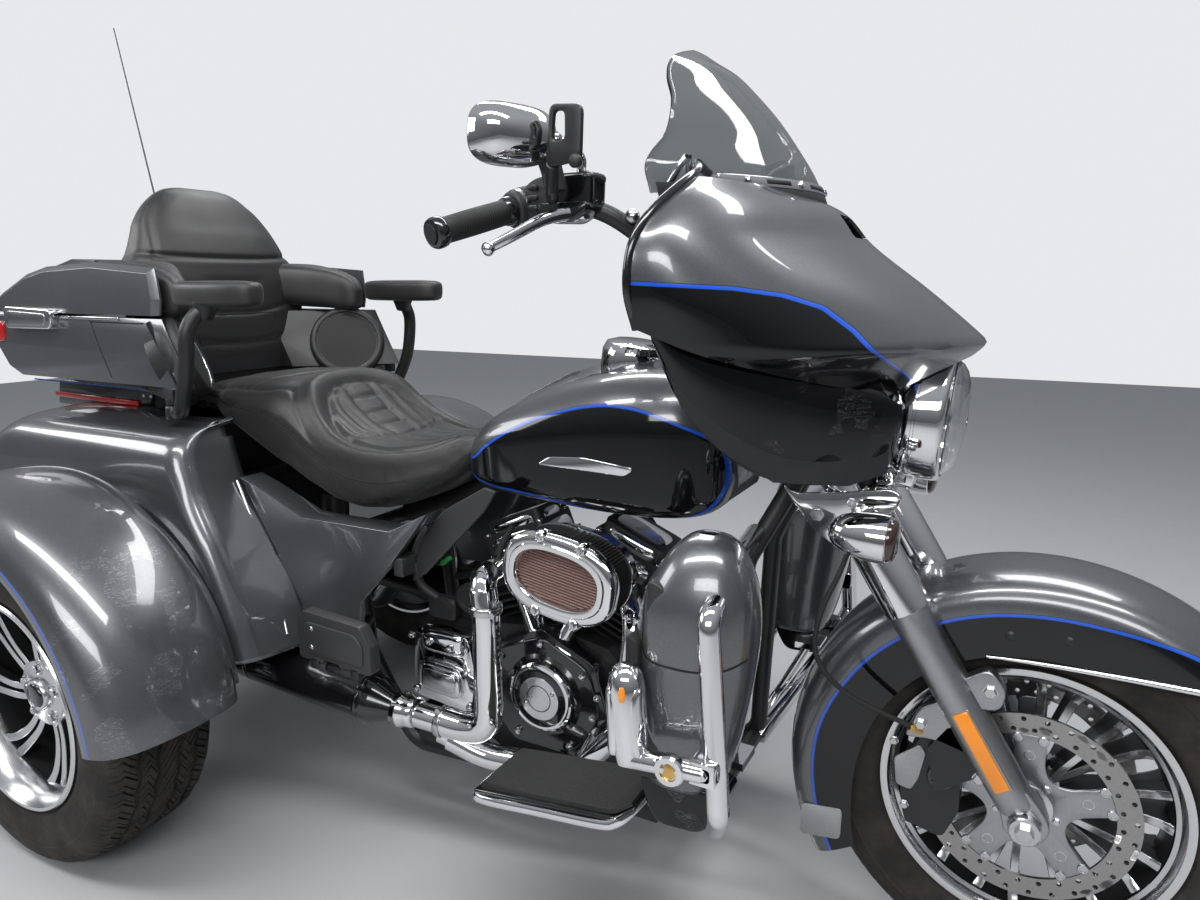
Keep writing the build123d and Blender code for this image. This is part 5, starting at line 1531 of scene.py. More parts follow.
treadedTyre("front_tyre", "front_wheel", frontCentre, frontTyreChoice)
frontRimSection = [(-56, 203), (-57.5, 208), (-57, 213.4),
    (-54, 214.6), (-49, 214), (-44, 207), (-40, 203.4), (40, 203.4), (44, 207), (49, 214), (54, 214.6), (57, 213.4),
    (57.5, 208), (56, 203), (50, 198), (44, 196), (41, 190), (20, 184), (-20, 184), (-41, 190), (-44, 196), (-50, 198)]
frontRim = piece("front_rim_ring",
    [turned(frontCentre, (0, 1, 0), frontRimSection + frontRimSection[:1], 120)], alloy, "front_wheel", sharp=32)
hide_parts("front_rim")
piece("front_rim_lining", [turned(frontCentre,
    (0, 1, 0), [(-39, 188.6), (-20, 183), (20, 183), (39, 188.6)], 96, False)], satin, "front_wheel", sharp=60)
frontCaps, frontDark = [], []
for k in range(10):
    for step in (-6.6, 6.6):
        a = 36 * k + 9 + step
        for side in (1, -1):
            cap, dark = spoke(frontCentre,
                [(44, a - step * 0.9, side * 30), (70, a - step * 0.3, side * 27), (130, a, side * 24),
                (170, a + step * 0.12, side * 30), (188, a + step * 0.25, side * 38)], (9, 15), (24, 34), side)
            frontCaps.append(cap)
            frontDark.append(dark)
piece("front_spoke_faces", frontCaps, alloy, "front_wheel", sharp=40)
piece("front_spoke_bodies", frontDark, satin, "front_wheel", sharp=40)
discs, carriers, carrierBolts, hubBolts = [], [], [], []
discRings = [(117, 133.5), (133.5, 149.5)]
for side in (-1, 1):
    discs += drilledRing(frontCentre, side * 66, 5, discRings, 28, 3.7)
    star = []
    for k in range(5):
        a = 72 * k + 20
        for turn, radius in ((-28, 58),
                (-17, 72), (-12.5, 98), (-11, 113), (-6, 117.5), (6, 117.5), (11, 113), (12.5, 98), (17, 72), (28, 58)):
            p = onWheel((0, 0, 0), radius, a + turn)
            star.append((p[0], p[2]))
        for turn in (-9, 9):
            place = onWheel(frontCentre, 112, a + turn, side * 67)
            carrierBolts.append(turned(place,
                (0, side, 0), [(0, 7.4), (2.6, 7.4), (3.4, 6.6), (3.5, 4.6), (2.6, 4.4), (2.6, 0.1)], 20))
    outline = roundedCorners(star, 7, 3)
    inner = [(36 * math.cos(t), 36 * math.sin(t)) for t in (math.atan2(p[1], p[0]) for p in outline)]
    plate = []
    for y in (63.2, 68.2):
        plate.append([(wheelbase + p, side * y, frontHub + q) for p, q in outline])
    rows = [[(wheelbase + p, side * 63.2, frontHub + q) for p, q in inner], plate[0], plate[1], [(wheelbase + p,
        side * 68.2, frontHub + q) for p, q in inner], [(wheelbase + p, side * 63.2, frontHub + q) for p, q in inner]]
    carriers.append(grid(rows, loop=True))
    for k in range(5):
        hubBolts.append(hexNut(onWheel(frontCentre, 43, 72 * k + 56, side * 67), (0, side, 0), 5.4, 5))
        carrierBolts.append(turned(onWheel(frontCentre, 84, 72 * k + 20, side * 67.6),
            (0, side, 0), [(0, 8), (0.8, 8), (1, 6.5), (-0.4, 6), (-0.5, 0.1)], 20))
piece("front_discs", discs, discSteel, "front_wheel", sharp=35)
piece("front_disc_edges", [turned(frontCentre, (0, 1, 0), [(side * 66 - 2.5, r), (side * 66 + 2.5, r)], 112, False)
    for side in (-1, 1) for r in (149.6, 116.9)], discSteel, "front_wheel", sharp=60)
piece("front_disc_carriers", carriers, forkAlloy, "front_wheel", bevel=1.2)
piece("front_disc_bobbins", carrierBolts, boltSteel, "front_wheel", sharp=35)
piece("front_hub_bolts", hubBolts, boltSteel, "front_wheel", sharp=25)
hubHalf = [(0, 34), (18, 34), (24, 38),
    (34, 46), (40, 47.5), (44, 46), (50, 40), (60, 38), (66, 38), (70, 36), (72, 30), (72.5, 20), (70, 19), (70, 11)]
piece("front_hub", both([turned(frontCentre, (0, 1, 0), hubHalf, 60)]), alloy, "front_wheel", sharp=35)
print("stage: front wheel")

for name, side in (("right", -1), ("left", 1)):
    body = "rear_wheel_" + name
    centre = (0, side * rearTrack, rearHub)
    treadedTyre("rear_tyre_" + name, body, centre, rearTyreChoice)
    section = [(-100, 197),
        (-101, 203), (-98, 206.6), (-92, 206.4), (-86, 197), (-83.6, 190.4), (83.6, 190.4), (86, 197), (92, 206.4),
        (98, 206.8), (101.4, 204), (101, 198), (97, 195), (88, 187), (72, 180.5), (54, 177), (40, 176), (-80, 182)]
    ring = turned(centre, (0, side, 0), section + section[:1], 140)
    rim = piece(f"rear_rim_ring_{name}", [ring], alloy, body, sharp=32)
    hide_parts("rear_rim_" + name)
    piece(f"rear_rim_lining_{name}", [turned(centre,
        (0, side, 0), [(-84, 181), (-60, 179), (36, 174.6), (44, 175)], 96, False)], satin, body, sharp=60)
    caps, dark = [], []
    for k in range(7):
        a = side * -360 * k / 7 + 90
        for step in (-1, 1):
            cap, under = spoke(centre, [(60, a + step * 9, side * 34), (92, a + side * 2 + step * 6.6, side * 37),
                (130, a + side * 7 + step * 5.4, side * 43), (160, a + side * 11 + step * 6, side * 49),
                (179, a + side * 14 + step * 7.4, side * 55)], (13, 17), (22, 16), side)
            caps.append(cap)
            dark.append(under)
        caps.append(spoke(centre,
            [(52, a - 12, side * 36), (56, a, side * 37), (52, a + 12, side * 36)], (26, 26), (16, 16), side)[0])
    piece(f"rear_spoke_faces_{name}", caps, alloy, body, sharp=40)
    piece(f"rear_spoke_bodies_{name}", dark, satin, body, sharp=40)
    hubSteps = [(4, 74),
        (16, 75), (22, 73), (28, 68), (35, 66), (38, 64), (39, 60), (39, 36), (40, 33), (48, 31), (50.5, 29), (51, 24)]
    piece(f"rear_hub_{name}", [turned(centre, (0, side, 0), hubSteps, 64)], alloy, body, sharp=30)
    piece(f"rear_hub_cap_{name}", [turned(centre,
        (0, side, 0), [(50, 25), (53, 24), (55, 20), (56, 10), (56.2, 1)], 40)], blackGlossPart, body, sharp=50)
    nuts, wells = [], []
    for k in range(5):
        place = onWheel(centre, 51, 72 * k + 90, side * 38)
        nuts.append(hexNut(place, (0, side, 0), 7.6, 9))
        wells.append(turned(place, (0, side, 0), [(0, 12.4), (2.2, 12.4), (2.6, 11.6), (1.2, 10.4), (1, 9)], 24))
    piece(f"rear_wheel_nuts_{name}", nuts, boltSteel, body, sharp=25)
    piece(f"rear_nut_seats_{name}", wells, alloy, body, sharp=30)
print("stage: rear wheels")


# Engine, air cleaner, pipes, boards and guard.

# rounded shape stacked along a direction; rows are (along, half width, half depth)
def lump(place, direction, across, rows, power=4.5, count=56):
    d = Vector(direction).normalized()
    u = (Vector(across) - d * d.dot(Vector(across))).normalized()
    v = d.cross(u)
    start = Vector(place)
    return grid([roundLoop((0, 0), (a, b), power, count, lambda p, q: tuple(start + d * along + u * p + v * q))
        for along, a, b in rows], loop=True, capped=True)


softened("engine_cases", satin, 3)
softened("cylinders", finBlack, 1.0)
covers = softened("engine_covers", [chrome, blackGlossPart], 3)
for face in covers.data.polygons:  # the cam cover is gloss black
    x, y, z = back(face.center)
    if 722 < x < 1012 and y < -98 and z < 486:
        face.material_index = 1
rockers, rockerBolts, tubes, tubeRings, blocks = [], [], [], [], []
for lean in (-22.5, 22.5):
    d = Vector((math.sin(math.radians(lean)), 0, math.cos(math.radians(lean))))
    base = Vector((865, 0, 310))
    fore = Vector((d.z, 0, -d.x))
    rockers.append(lump(base + d * 288,
        d, fore, [(0, 77, 61), (10, 78.5, 62.5), (22, 78.5, 62.5), (34, 76, 60), (41, 71, 55), (43, 64, 50)]))
    rockers.append(lump(base + d * 330,
        d, fore, [(0, 68, 51), (8, 69, 52), (18, 67, 50), (25, 60, 43), (28.5, 48, 30), (29.5, 30, 14)], 3.4))
    for p in (-66, 66):
        for q in (-50, 50):
            rockerBolts.append(buttonBolt(base + d * 330 + fore * p + Vector((0, q, 0)), d, 7, 6))
    for p in (-34, 34):
        rockerBolts.append(buttonBolt(base + d * 316 + fore * p + Vector((0, -62, 0)), (0, -1, 0), 7, 5))
    for k in (0, 1):
        low = Vector((842 if lean < 0 else 888, -128, 432)) + Vector((0, 14 * k, 0))
        top = base + d * (292 - 6 * k) + fore * (22 if lean < 0 else -22) + Vector((0, -70 + 20 * k, 0))
        run = (top - low).normalized()
        tubes.append(turned(low,
            run, [(0, 15), (4, 15), (6, 12.5), (44, 12.5), (46, 10.5), ((top - low).length, 10.5)], 20))
        tubeRings += [turned(low + run * s,
            run, [(0, 10), (0, 14.4), (1, 15), (6, 15), (7, 14.4), (7, 10)], 24) for s in (42, 60)]
    blocks.append(lump((838 if lean < 0 else 896, -128, 404),
        d, fore, [(0, 25, 24), (4, 26, 25), (34, 26, 25), (38, 24, 22)]))
piece("rocker_covers", rockers, chrome, "chassis", sharp=50)
piece("rocker_bolts", rockerBolts, boltSteel, "chassis", sharp=30)
piece("pushrod_tubes", tubes + tubeRings + blocks, chrome, "chassis", sharp=40)
camRim = roundedCorners([(745, 306), (806, 240), (932, 240), (990, 322), (966, 412), (865, 458), (762, 412)], 26, 5)
piece("cam_cover_rim", [slab(camRim, -156, -148)], blackGlossPart, "chassis", bevel=4, segments=3)
piece("cam_cover_boss", [turned((872, -150, 345), (0, -1, 0), [(0, 84), (5, 80), (10, 72), (16, 68), (20, 66)], 72)],
    blackGlossPart, "chassis", sharp=40)
piece("cam_cover_plate", [turned((872, -168, 345), (0, -1, 0), [(0, 67), (4, 66), (6.4, 63),
    (6.8, 58), (5.6, 54), (4.2, 50), (4.2, 47), (6.6, 46), (7.8, 44), (7.8, 1)], 80)], chrome, "chassis", sharp=24)
piece("cam_plate_disc", [turned((872, -175.6, 345), (0, -1, 0),
    [(0, 42), (0.8, 41.4), (0.9, 26), (0.2, 25.6), (0.2, 24), (0.9, 23.6), (1.0, 1)], 64)], alloy, "chassis", sharp=24)
camBolts = [buttonBolt((x, -156, z), (0, -1, 0), 7.2, 6)
    for x, z in ((762, 308), (812, 256), (926, 256), (974, 324), (954, 400), (865, 444), (776, 400), (984, 366))]
camBolts += [buttonBolt((872 + 33 * math.cos(a), -176, 345 + 33 * math.sin(a)),
    (0, -1, 0), 4.4, 2.5) for a in (0.5, 3.64)]
piece("cam_cover_bolts", camBolts, boltSteel, "chassis", sharp=30)
gearTop = lump((630, -140, 392), (0, -1, 0), (1, 0, 0), [(0, 52, 26), (8, 52, 26), (16, 46, 20), (18, 38, 13)], 5)
gearPlate = slab(roundedCorners([(577, 288), (672, 282), (680, 340), (580, 346)], 17), -160, -144)
gearFace = slab(roundedCorners([(586, 297), (664, 292), (669, 331), (588, 336)], 12), -161.6, -158)
piece("gearbox_cover_parts", [gearTop, gearPlate], chrome, "chassis", bevel=4, segments=3)
piece("gearbox_blank_plate", [gearFace], alloy, "chassis", bevel=1)
piece("gearbox_bolts", [buttonBolt((x, -158 if z > 380 else -147, z), (0, -1, 0), 8, 7) for x, z in ((604, 394),
    (656, 390), (556, 276), (560, 400), (692, 268), (696, 396))], boltSteel, "chassis", sharp=30)
piece("sensor_caps", [turned((690, -128, 492), (0, -1, 0), [(0, 30), (10, 30), (13, 27), (13, 20), (10, 18), (10, 1)],
    36), lump((610, -108, 452), (0, -1, 0), (1, 0, 0), [(0, 34, 24), (14, 34, 24), (18, 30, 20)], 5),
    tube([(596, -118, 470), (560, -128, 500), (548, -120, 560), (562, -100, 610)], 9, 8, 14)],
    plastic, "chassis", sharp=40)
piece("small_connector", [roundedBox((648, -150, 566), (26, 10, 9), 3, (0.8, 0, 0.6))], greenBit, "chassis", bevel=1.5)
derby = turned((900, 186, 305),
    (0, 1, 0), [(0, 70), (6, 69), (10, 66), (11, 60), (12, 58), (12, 30), (13, 28), (13, 1)], 72)
derbyBolts = [buttonBolt((900 + 63 * math.cos(a), 196, 305 + 63 * math.sin(a)), (0, 1, 0), 5, 3)
    for a in (2 * math.pi * k / 5 + 0.3 for k in range(5))]
edgeBolts = [buttonBolt((x, 150, z), (0, 1, 0), 6, 5)
    for x, z in ((582, 256), (800, 226), (934, 228), (998, 302), (946, 388), (780, 402), (630, 406), (574, 372))]
piece("primary_plate", [derby], chrome, "chassis", sharp=30)
piece("primary_bolts", derbyBolts + edgeBolts, boltSteel, "chassis", sharp=30)
piece("plug_caps", both([tube([(865 + s * 128, -60, 560), (865 + s * 132, -92, 566), (865 + s * 120, -108, 590),
    (865 + s * 96, -96, 640)], 8, 6, 14, taper=(1.4, 0.7)) for s in (-1, 1)]), rubber, "chassis", sharp=60)
print("stage: engine")

# Air cleaner: oval, leaning back; a ring with four bolts round a ribbed window, a pleated filter behind it.

cleanerChoice = {"middle": (970, 623), "lean": -9, "pleats": 92, "ribs": 17, "power": 2.5}


def ovalLoop(y, a, b, count=120, wave=0.0):
    lean = math.radians(cleanerChoice["lean"])
    ring = []
    for k, (p, q) in enumerate(roundLoop((0, 0), (a, b), cleanerChoice["power"], count, lambda p, q: (p, q))):
        grow = 1 + wave * (1 if k % 2 else -1) / max(a, b)
        p, q = p * grow, q * grow
        ring.append((cleanerChoice["middle"][0] + p * math.cos(lean) - q * math.sin(lean),
            y, cleanerChoice["middle"][1] + p * math.sin(lean) + q * math.cos(lean)))
    return ring


cleanerBack = grid([ovalLoop(y, a, b) for y, a, b in ((-172, 92, 58),
    (-174, 98, 64), (-194, 98, 64), (-198, 104, 70), (-202, 104, 70), (-203, 100, 66))], loop=True, capped=True)
cleanerBody = piece("air_cleaner_back", [cleanerBack], chrome, "chassis", sharp=40)
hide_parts("air_cleaner")
count = cleanerChoice["pleats"] * 2
piece("air_cleaner_pleats", [grid([ovalLoop(y, 101, 67, count, w)
    for y, w in ((-202, 0), (-203, 3.2), (-256, 3.2), (-257, 0))], loop=True)], rubber, "chassis", sharp=20)
ringSection = [(-252, 104, 70),
    (-254, 107, 73), (-262, 107, 73), (-268, 105.5, 71.5), (-272, 101, 67), (-273.4, 95, 61), (-273.6, 90, 57),
    (-275.6, 88, 55), (-276, 84, 51), (-275, 79, 46.4), (-271, 76, 43.6), (-262, 74.6, 42.2), (-258, 75, 42.6)]
piece("air_cleaner_ring", [grid([ovalLoop(*row) for row in ringSection], loop=True)], chrome, "chassis", sharp=35)
windowRows = []
for k in range(cleanerChoice["ribs"] * 6 + 1):
    q = -42.2 + 84.4 * k / (cleanerChoice["ribs"] * 6)
    reach = 75 * max(0.0, 1 - abs(q / 42.6) ** 2.5) ** (1 / 2.5)
    rib = abs(math.sin(math.pi * cleanerChoice["ribs"] * (k / (cleanerChoice["ribs"] * 6)))) ** 0.7
    lean = math.radians(cleanerChoice["lean"])
    windowRows.append([(970 + p * math.cos(lean) - q * math.sin(lean), -262.5 - 3.4 * rib,
        623 + p * math.sin(lean) + q * math.cos(lean)) for p in (reach * s / 8 for s in range(-8, 9))])
piece("air_cleaner_window", [grid(windowRows)], windowNet, "chassis", sharp=70)
bosses, bossBolts = [], []
for p, q in ((-38, 64), (38, 64), (-30, -64), (44, -64)):
    lean = math.radians(cleanerChoice["lean"])
    x, z = 970 + p * math.cos(lean) - q * math.sin(lean), 623 + p * math.sin(lean) + q * math.cos(lean)
    bosses.append(turned((x, -252, z),
        (0, -1, 0), [(0, 11), (20, 11), (23, 9.4), (24, 7.8), (22.6, 7.4), (22.6, 1)], 28))
    bossBolts.append(hexNut((x, -274.4, z), (0, -1, 0), 5.2, 5, 0.4))
piece("air_cleaner_bosses", bosses, chrome, "chassis", sharp=40)
piece("air_cleaner_bolts", bossBolts, boltSteel, "chassis", sharp=25)

# Pipes: shields with slots and clamps over the CAD's pipes, the joint in front of each muffler.

shield = tube([(794, -229, 560), (801, -233, 512), (801, -233, 420),
    (801, -233, 330), (788, -235, 296), (748, -238, 286), (700, -246, 290)], 27.5, 10, 28, taper=(0.9, 1.0))
pipeSlots = [roundedBox((826.5, -236, 350 + 13 * k), (3, 9, 6), 1.4) for k in range(13)]
clamps = [turned(p, d, [(-7, 26), (-7, 29.6), (7, 29.6), (7, 26)], 36)
    for p, d in (((801, -233, 528), (0, 0, 1)), ((706, -245, 289), (1, 0, 0)))]
joint = turned((640, -257, 299),
    (-1, -0.06, 0), [(-14, 25), (-10, 29), (0, 30), (12, 31), (16, 34), (20, 34), (24, 31), (60, 29)], 40)
piece("header_shields", [shield, joint, tube([(1000, -168, 300),
    (960, -190, 237), (880, -213, 236), (790, -228, 236), (720, -243, 260)], 23.5, 8, 24)], chrome, "chassis", sharp=50)
piece("header_clamps", clamps, boltSteel, "chassis", bevel=1.4)
piece("header_slots", pipeSlots, deepBlack, "chassis", bevel=0.8)
piece("clamp_screws", [turned((830, -240, 528), (0, -1, 0), [(-8, 4), (12, 4), (12.1, 6), (17, 6), (17.2, 3)], 12),
    turned((706, -246, 318), (0, -1, 0), [(-8, 4), (12, 4), (12.1, 6), (17, 6), (17.2, 3)], 12)],
    boltSteel, "chassis", sharp=30)
mufflerBands = both([turned((x, -262, z), (1, 0, -0.05), [(-5, 45), (-5, 48.6), (5, 48.6), (5, 45)], 44)
    for x, z in ((540, 303.5), (240, 320))])
piece("muffler_bands", mufflerBands, blackGlossPart, "chassis", bevel=1.2)
print("stage: air cleaner and pipes")

# Rider's boards, passenger's boards, guard and its pegs.

boardPlate = slab([(872, 266), (1000, 283),
    (1124, 299), (1142, 308), (1165, 330), (1165, 341), (1132, 314), (1120, 312), (1000, 297), (872, 280)], -378, -238)
lugRods = [turned((x, -262, z), Vector((0, 92, 196 - z)), [(0, 10), (Vector((0, 92, 196 - z)).length, 10)], 20)
    for x, z in ((900, 268), (1080, 292))]
boards = piece("board_plates", both([boardPlate] + lugRods), blackGlossPart, "chassis", bevel=4, segments=3)
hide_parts("floorboards")
padRowsFlat = []
for k in range(131):
    y = -371 + 126 * k / 130
    near = min(k, 130 - k)
    rib = 0 if near < 3 else abs(math.sin(math.pi * k / 5)) * 2.0
    ends = 6 * (1 - min(1, near / 10)) ** 2
    padRowsFlat.append([(x, y, z + (0 if near == 0 or x in (878 + ends, 1160) else 5 + rib))
        for x, z in ((878 + ends, 281),
        (881 + ends, 281.2), (960, 291.4), (1040, 302), (1118, 312), (1132, 317), (1157, 336), (1160, 338))])
piece("board_pads", both([grid(padRowsFlat)]), rubber, "chassis", sharp=50)
trim = [(878, -236, 268), (870, -300, 267), (871, -362, 267), (890, -381, 269),
    (1000, -382, 283), (1100, -382, 296), (1130, -378, 303), (1150, -362, 318), (1160, -300, 328), (1158, -240, 327)]
piece("board_trim", both([tube(trim, 8, 6, 12, oval=0.55)]), chrome, "chassis", sharp=60)
for name, side in (("right", -1), ("left", 1)):
    body = "footboard_" + name
    softened("passenger_footboard_" + name, greyPlastic, 4, segments=3)
    panel = slab(roundedCorners([(492, 432), (628, 430), (630, 466), (612, 488), (498, 492), (488, 482)],
        9), side * 361, side * 365)
    piece("footboard_panel_" + name, [panel], greyPlastic, body, bevel=1.6)
    piece("footboard_screws_" + name, [buttonBolt((x, side * 364.4, z), (0, side, 0), 4.6, 2.4)
        for x, z in ((506, 444), (508, 480))], boltSteel, body, sharp=30)
    piece("footboard_hinges_" + name,
        [roundedBox((x, side * 352, 411), (20, 20, 22), 5) for x in (506, 604)], satin, body, bevel=2)
softened("engine_guard", chrome, 1.4)
clampBody = lump((1289, -386, 462),
    (0, -1, 0), (1, 0, 0), [(0, 19, 17), (6, 20, 18), (36, 20, 18), (44, 17, 15), (46, 11, 10)], 4)
clampArm = tube([(1289, -424, 462), (1240, -428, 461), (1200, -426, 456), (1178, -424, 452)], 14, 6, 18, oval=1.1)
pegRun = (Vector((1168, -412, 580)) - Vector((1180, -424, 446))).normalized()
pegAxis = axes(pegRun)
peg = turned((1180, -424, 446),
    pegRun, [(0, 16), (10, 19), (24, 23), (64, 25.5), (104, 26.5), (122, 24), (134, 18), (140, 8)], 40)
panels = []
for k in range(3):
    a = 2 * math.pi * k / 3 + 1.2
    out = pegAxis[1] * math.cos(a) + pegAxis[2] * math.sin(a)
    panels.append(lump(Vector((1180, -424, 446)) + pegRun * 62 + out * 20,
        out, pegRun, [(0, 50, 14), (5.6, 49, 13), (8, 46, 10), (9, 42, 7)], 3))
amberSpot = Vector((1180, -424, 446)) + pegRun * 104
facing = Vector((0.2, -1, 0.1)).normalized()
piece("guard_clamps", both([clampBody, clampArm]), chrome, "chassis", sharp=45)
piece("highway_pegs", both([peg]), chrome, "chassis", sharp=50)
piece("peg_panels", both(panels), chrome, "chassis", sharp=35)
piece("peg_marks", both([lump(amberSpot + facing * 25, facing, pegRun, [(0, 11, 5), (3, 10, 4.4), (4, 7, 3)], 2.4)]),
    amberLens, "chassis", sharp=50)
eye = turned((1246, -426, 460), (0, -1, 0), [(0, 20), (6, 22), (14, 22), (17, 20), (17.4, 13), (15, 12), (15, 9)], 36)
piece("guard_bolts", both([hexNut((1289, -431, 462), (0, -1, 0), 7, 6), eye]), chrome, "chassis", sharp=25)
piece("guard_eye_caps", both([turned((1246, -440, 460), (0, -1, 0), [(0, 11), (2, 10.6), (3.4, 6), (3.6, 1)], 24)]),
    brass, "chassis", sharp=40)
print("stage: boards and guard")


# Fork, calipers, bars, mirrors, dash and console. These ride on the steering; frontAt measures from the front axle.

def frontAt(x, y, z):
    return (wheelbase + x, y, z)


forkLean = 32  # degrees back from upright


def onFork(z, y=0.0):
    return (wheelbase - math.tan(math.radians(forkLean)) * (z - frontHub), y, z)


forkRun = (Vector(onFork(620)) - Vector(onFork(frontHub))).normalized()


# rounded outline in (x, z) that lies along the fork
def alongFork(mid, run, half, high, radius):
    return roundedCorners([(mid.x + run.x * a - run.z * b, mid.z + run.z * a + run.x * b)
        for a, b in ((-half, -high), (half, -high), (half, high), (-half, high))], radius)


sliders, covers, stanchions, lugs, reflectors, clampBolts = [], [], [], [], [], []
for side in (-1, 1):
    y = side * 103
    low = Vector(onFork(338, y))
    long = (Vector(onFork(618)) - Vector(onFork(338))).length
    sliders.append(turned(low, forkRun,
        [(0, 25), (6, 28), (44, 29), (60, 30), (long - 60, 30), (long - 44, 31.5), (long - 10, 32.5), (long, 32)], 44))
    top = (Vector(onFork(776)) - Vector(onFork(612))).length
    covers.append(turned(onFork(612, y), forkRun, [(0, 33.5), (2, 35.6), (10, 36), (top - 6, 36), (top, 34)], 48))
    stanchions.append(turned(onFork(775, y), forkRun, [(0, 24.5), (250, 24.5), (262, 24.5), (266, 22), (267, 8)], 32))
    foot = roundedCorners([(-26, 298), (20, 292), (34, 318), (24, 344), (0, 372), (-28, 378), (-36, 338)], 12)
    lugs.append(slab([(wheelbase + p, q) for p, q in foot], side * 88, side * 120))
    lug = roundedCorners([(-104, 520), (-66, 548), (-40, 520), (-46, 486), (-92, 480)], 14)
    lugs.append(slab([(wheelbase + p, q) for p, q in lug], side * 92, side * 116))
    lug = roundedCorners([(-176, 410),
        (-136, 416), (-84, 404), (-52, 360), (-44, 392), (-70, 452), (-118, 486), (-156, 462)], 12)
    lugs.append(slab([(wheelbase + p, q) for p, q in lug], side * 97, side * 112))
    clampBolts += [hexNut(frontAt(p, side * 112, q), (0, side, 0), 8, 7, 0.4)
        for p, q in ((-152, 438), (-118, 470), (-66, 372))]
    clampBolts.append(hexNut(frontAt(-62, side * 116, 514), (0, side, 0), 9, 7, 0.5))
    r0, r1 = Vector(onFork(478, side * 133.5)), Vector(onFork(372, side * 133.5))
    mid, run = (r0 + r1) / 2, (r0 - r1).normalized()
    span = (r0 - r1).length / 2
    reflectors.append(slab(alongFork(mid, run, span, 11, 4), side * 130, side * 136))
forkCover = piece("fork_covers", covers, chrome, "steering", sharp=40)
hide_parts("fork")
piece("fork_sliders", sliders, forkAlloy, "steering", sharp=40)
piece("fork_tubes", stanchions, chrome, "steering", sharp=40)
piece("fork_lugs", lugs, forkAlloy, "steering", bevel=3, segments=3)
piece("fork_reflectors", reflectors, amberLens, "steering", bevel=1.6)
piece("reflector_frames",
    [slab(alongFork(mid, run, span + 3, 14, 6), s * 127.4, s * 131.4) for s in (-1, 1)], forkAlloy, "steering", bevel=1)
piece("fork_bolts", clampBolts, boltSteel, "steering", sharp=25)
axleParts = both([turned(frontAt(0, -118, frontHub), (0, -1, 0),
    [(0, 24), (3, 24), (5, 22), (18, 22), (20, 20), (20, 15)], 32), hexNut(frontAt(0, -137, frontHub), (0, -1, 0),
    13, 9, 0.45), turned(frontAt(0, -72, frontHub), (0, -1, 0), [(0, 22), (4, 23), (14, 23), (18, 20)], 32)])
piece("front_axle", axleParts + [turned(frontAt(0, -140, frontHub), (0, 1, 0), [(0, 11), (280, 11)], 24)],
    boltSteel, "steering", sharp=30)
yokes = []
for z in (765, 988):
    steer, leg = 99 - math.tan(math.radians(26)) * z, -math.tan(math.radians(forkLean)) * (z - frontHub)
    plan = [(steer - 44, -40), (leg - 32, -136),
        (leg + 36, -140), (leg + 44, -60), (leg + 44, 60), (leg + 36, 140), (leg - 32, 136), (steer - 44, 40)]
    yokes.append(slab([(wheelbase + p, q) for p, q in roundedCorners(plan, 22, 5)], z - 14, z + 14, "z"))
piece("yokes", yokes, chrome, "steering", bevel=4, segments=3)
piece("steering_stem", [turned(frontAt(99 - math.tan(math.radians(26)) * 770, 0, 770), (-math.sin(math.radians(26)),
    0, math.cos(math.radians(26))), [(0, 22), (70, 22), (82, 28), (92, 28), (94, 22), (256, 22)], 32)],
    satin, "steering", sharp=40)
yokeEdge = [(1296, 794), (1317, 780),
    (1392, 790), (1456, 803), (1474, 792), (1462, 768), (1437, 758), (1396, 736), (1378, 706), (1346, 730), (1322, 758)]
piece("yoke_covers", both([slab(roundedCorners(yokeEdge, 13), -141, -133)]), chrome, "steering", bevel=3.4, segments=3)
piece("yoke_cover_bolts", both([hexNut((1352, -141, 752), (0, -1, 0), 9, 6, 0.5),
    hexNut((1402, -141, 776), (0, -1, 0), 6, 5)]), boltSteel, "steering", sharp=25)
print("stage: fork")

softened("calipers", satin, 5, segments=3)
patch = roundedCorners([(-188, 366), (-152, 398), (-142, 386), (-150, 340), (-160, 318), (-182, 322)], 6)
capsAndBolts = [hexNut(frontAt(p, -100, q), (0, -1, 0), 6, 6) for p, q in ((-118, 402), (-168, 290), (-190, 394))]
piece("caliper_mesh", both([slab([(wheelbase + p, q) for p, q in patch], -103, -99)]), silverNet, "steering", bevel=1)
piece("caliper_caps", both([turned(frontAt(-118, -99, 352),
    (0, -1, 0), [(0, 21), (4, 21), (6, 19), (6, 15), (4.6, 14), (4.6, 1)], 36)]), blackGlossPart, "steering", sharp=30)
piece("caliper_cap_faces", both([turned(frontAt(-118, -103.4, 352), (0, -1, 0), [(0, 12.6), (1.6, 12), (2, 1)], 32)]),
    alloy, "steering", sharp=30)
piece("caliper_bolts", both(capsAndBolts), boltSteel, "steering", sharp=25)

# Bars: pipe, ribbed grips with end caps, switch blocks, fluid block, lever, chrome bracket and phone holder.

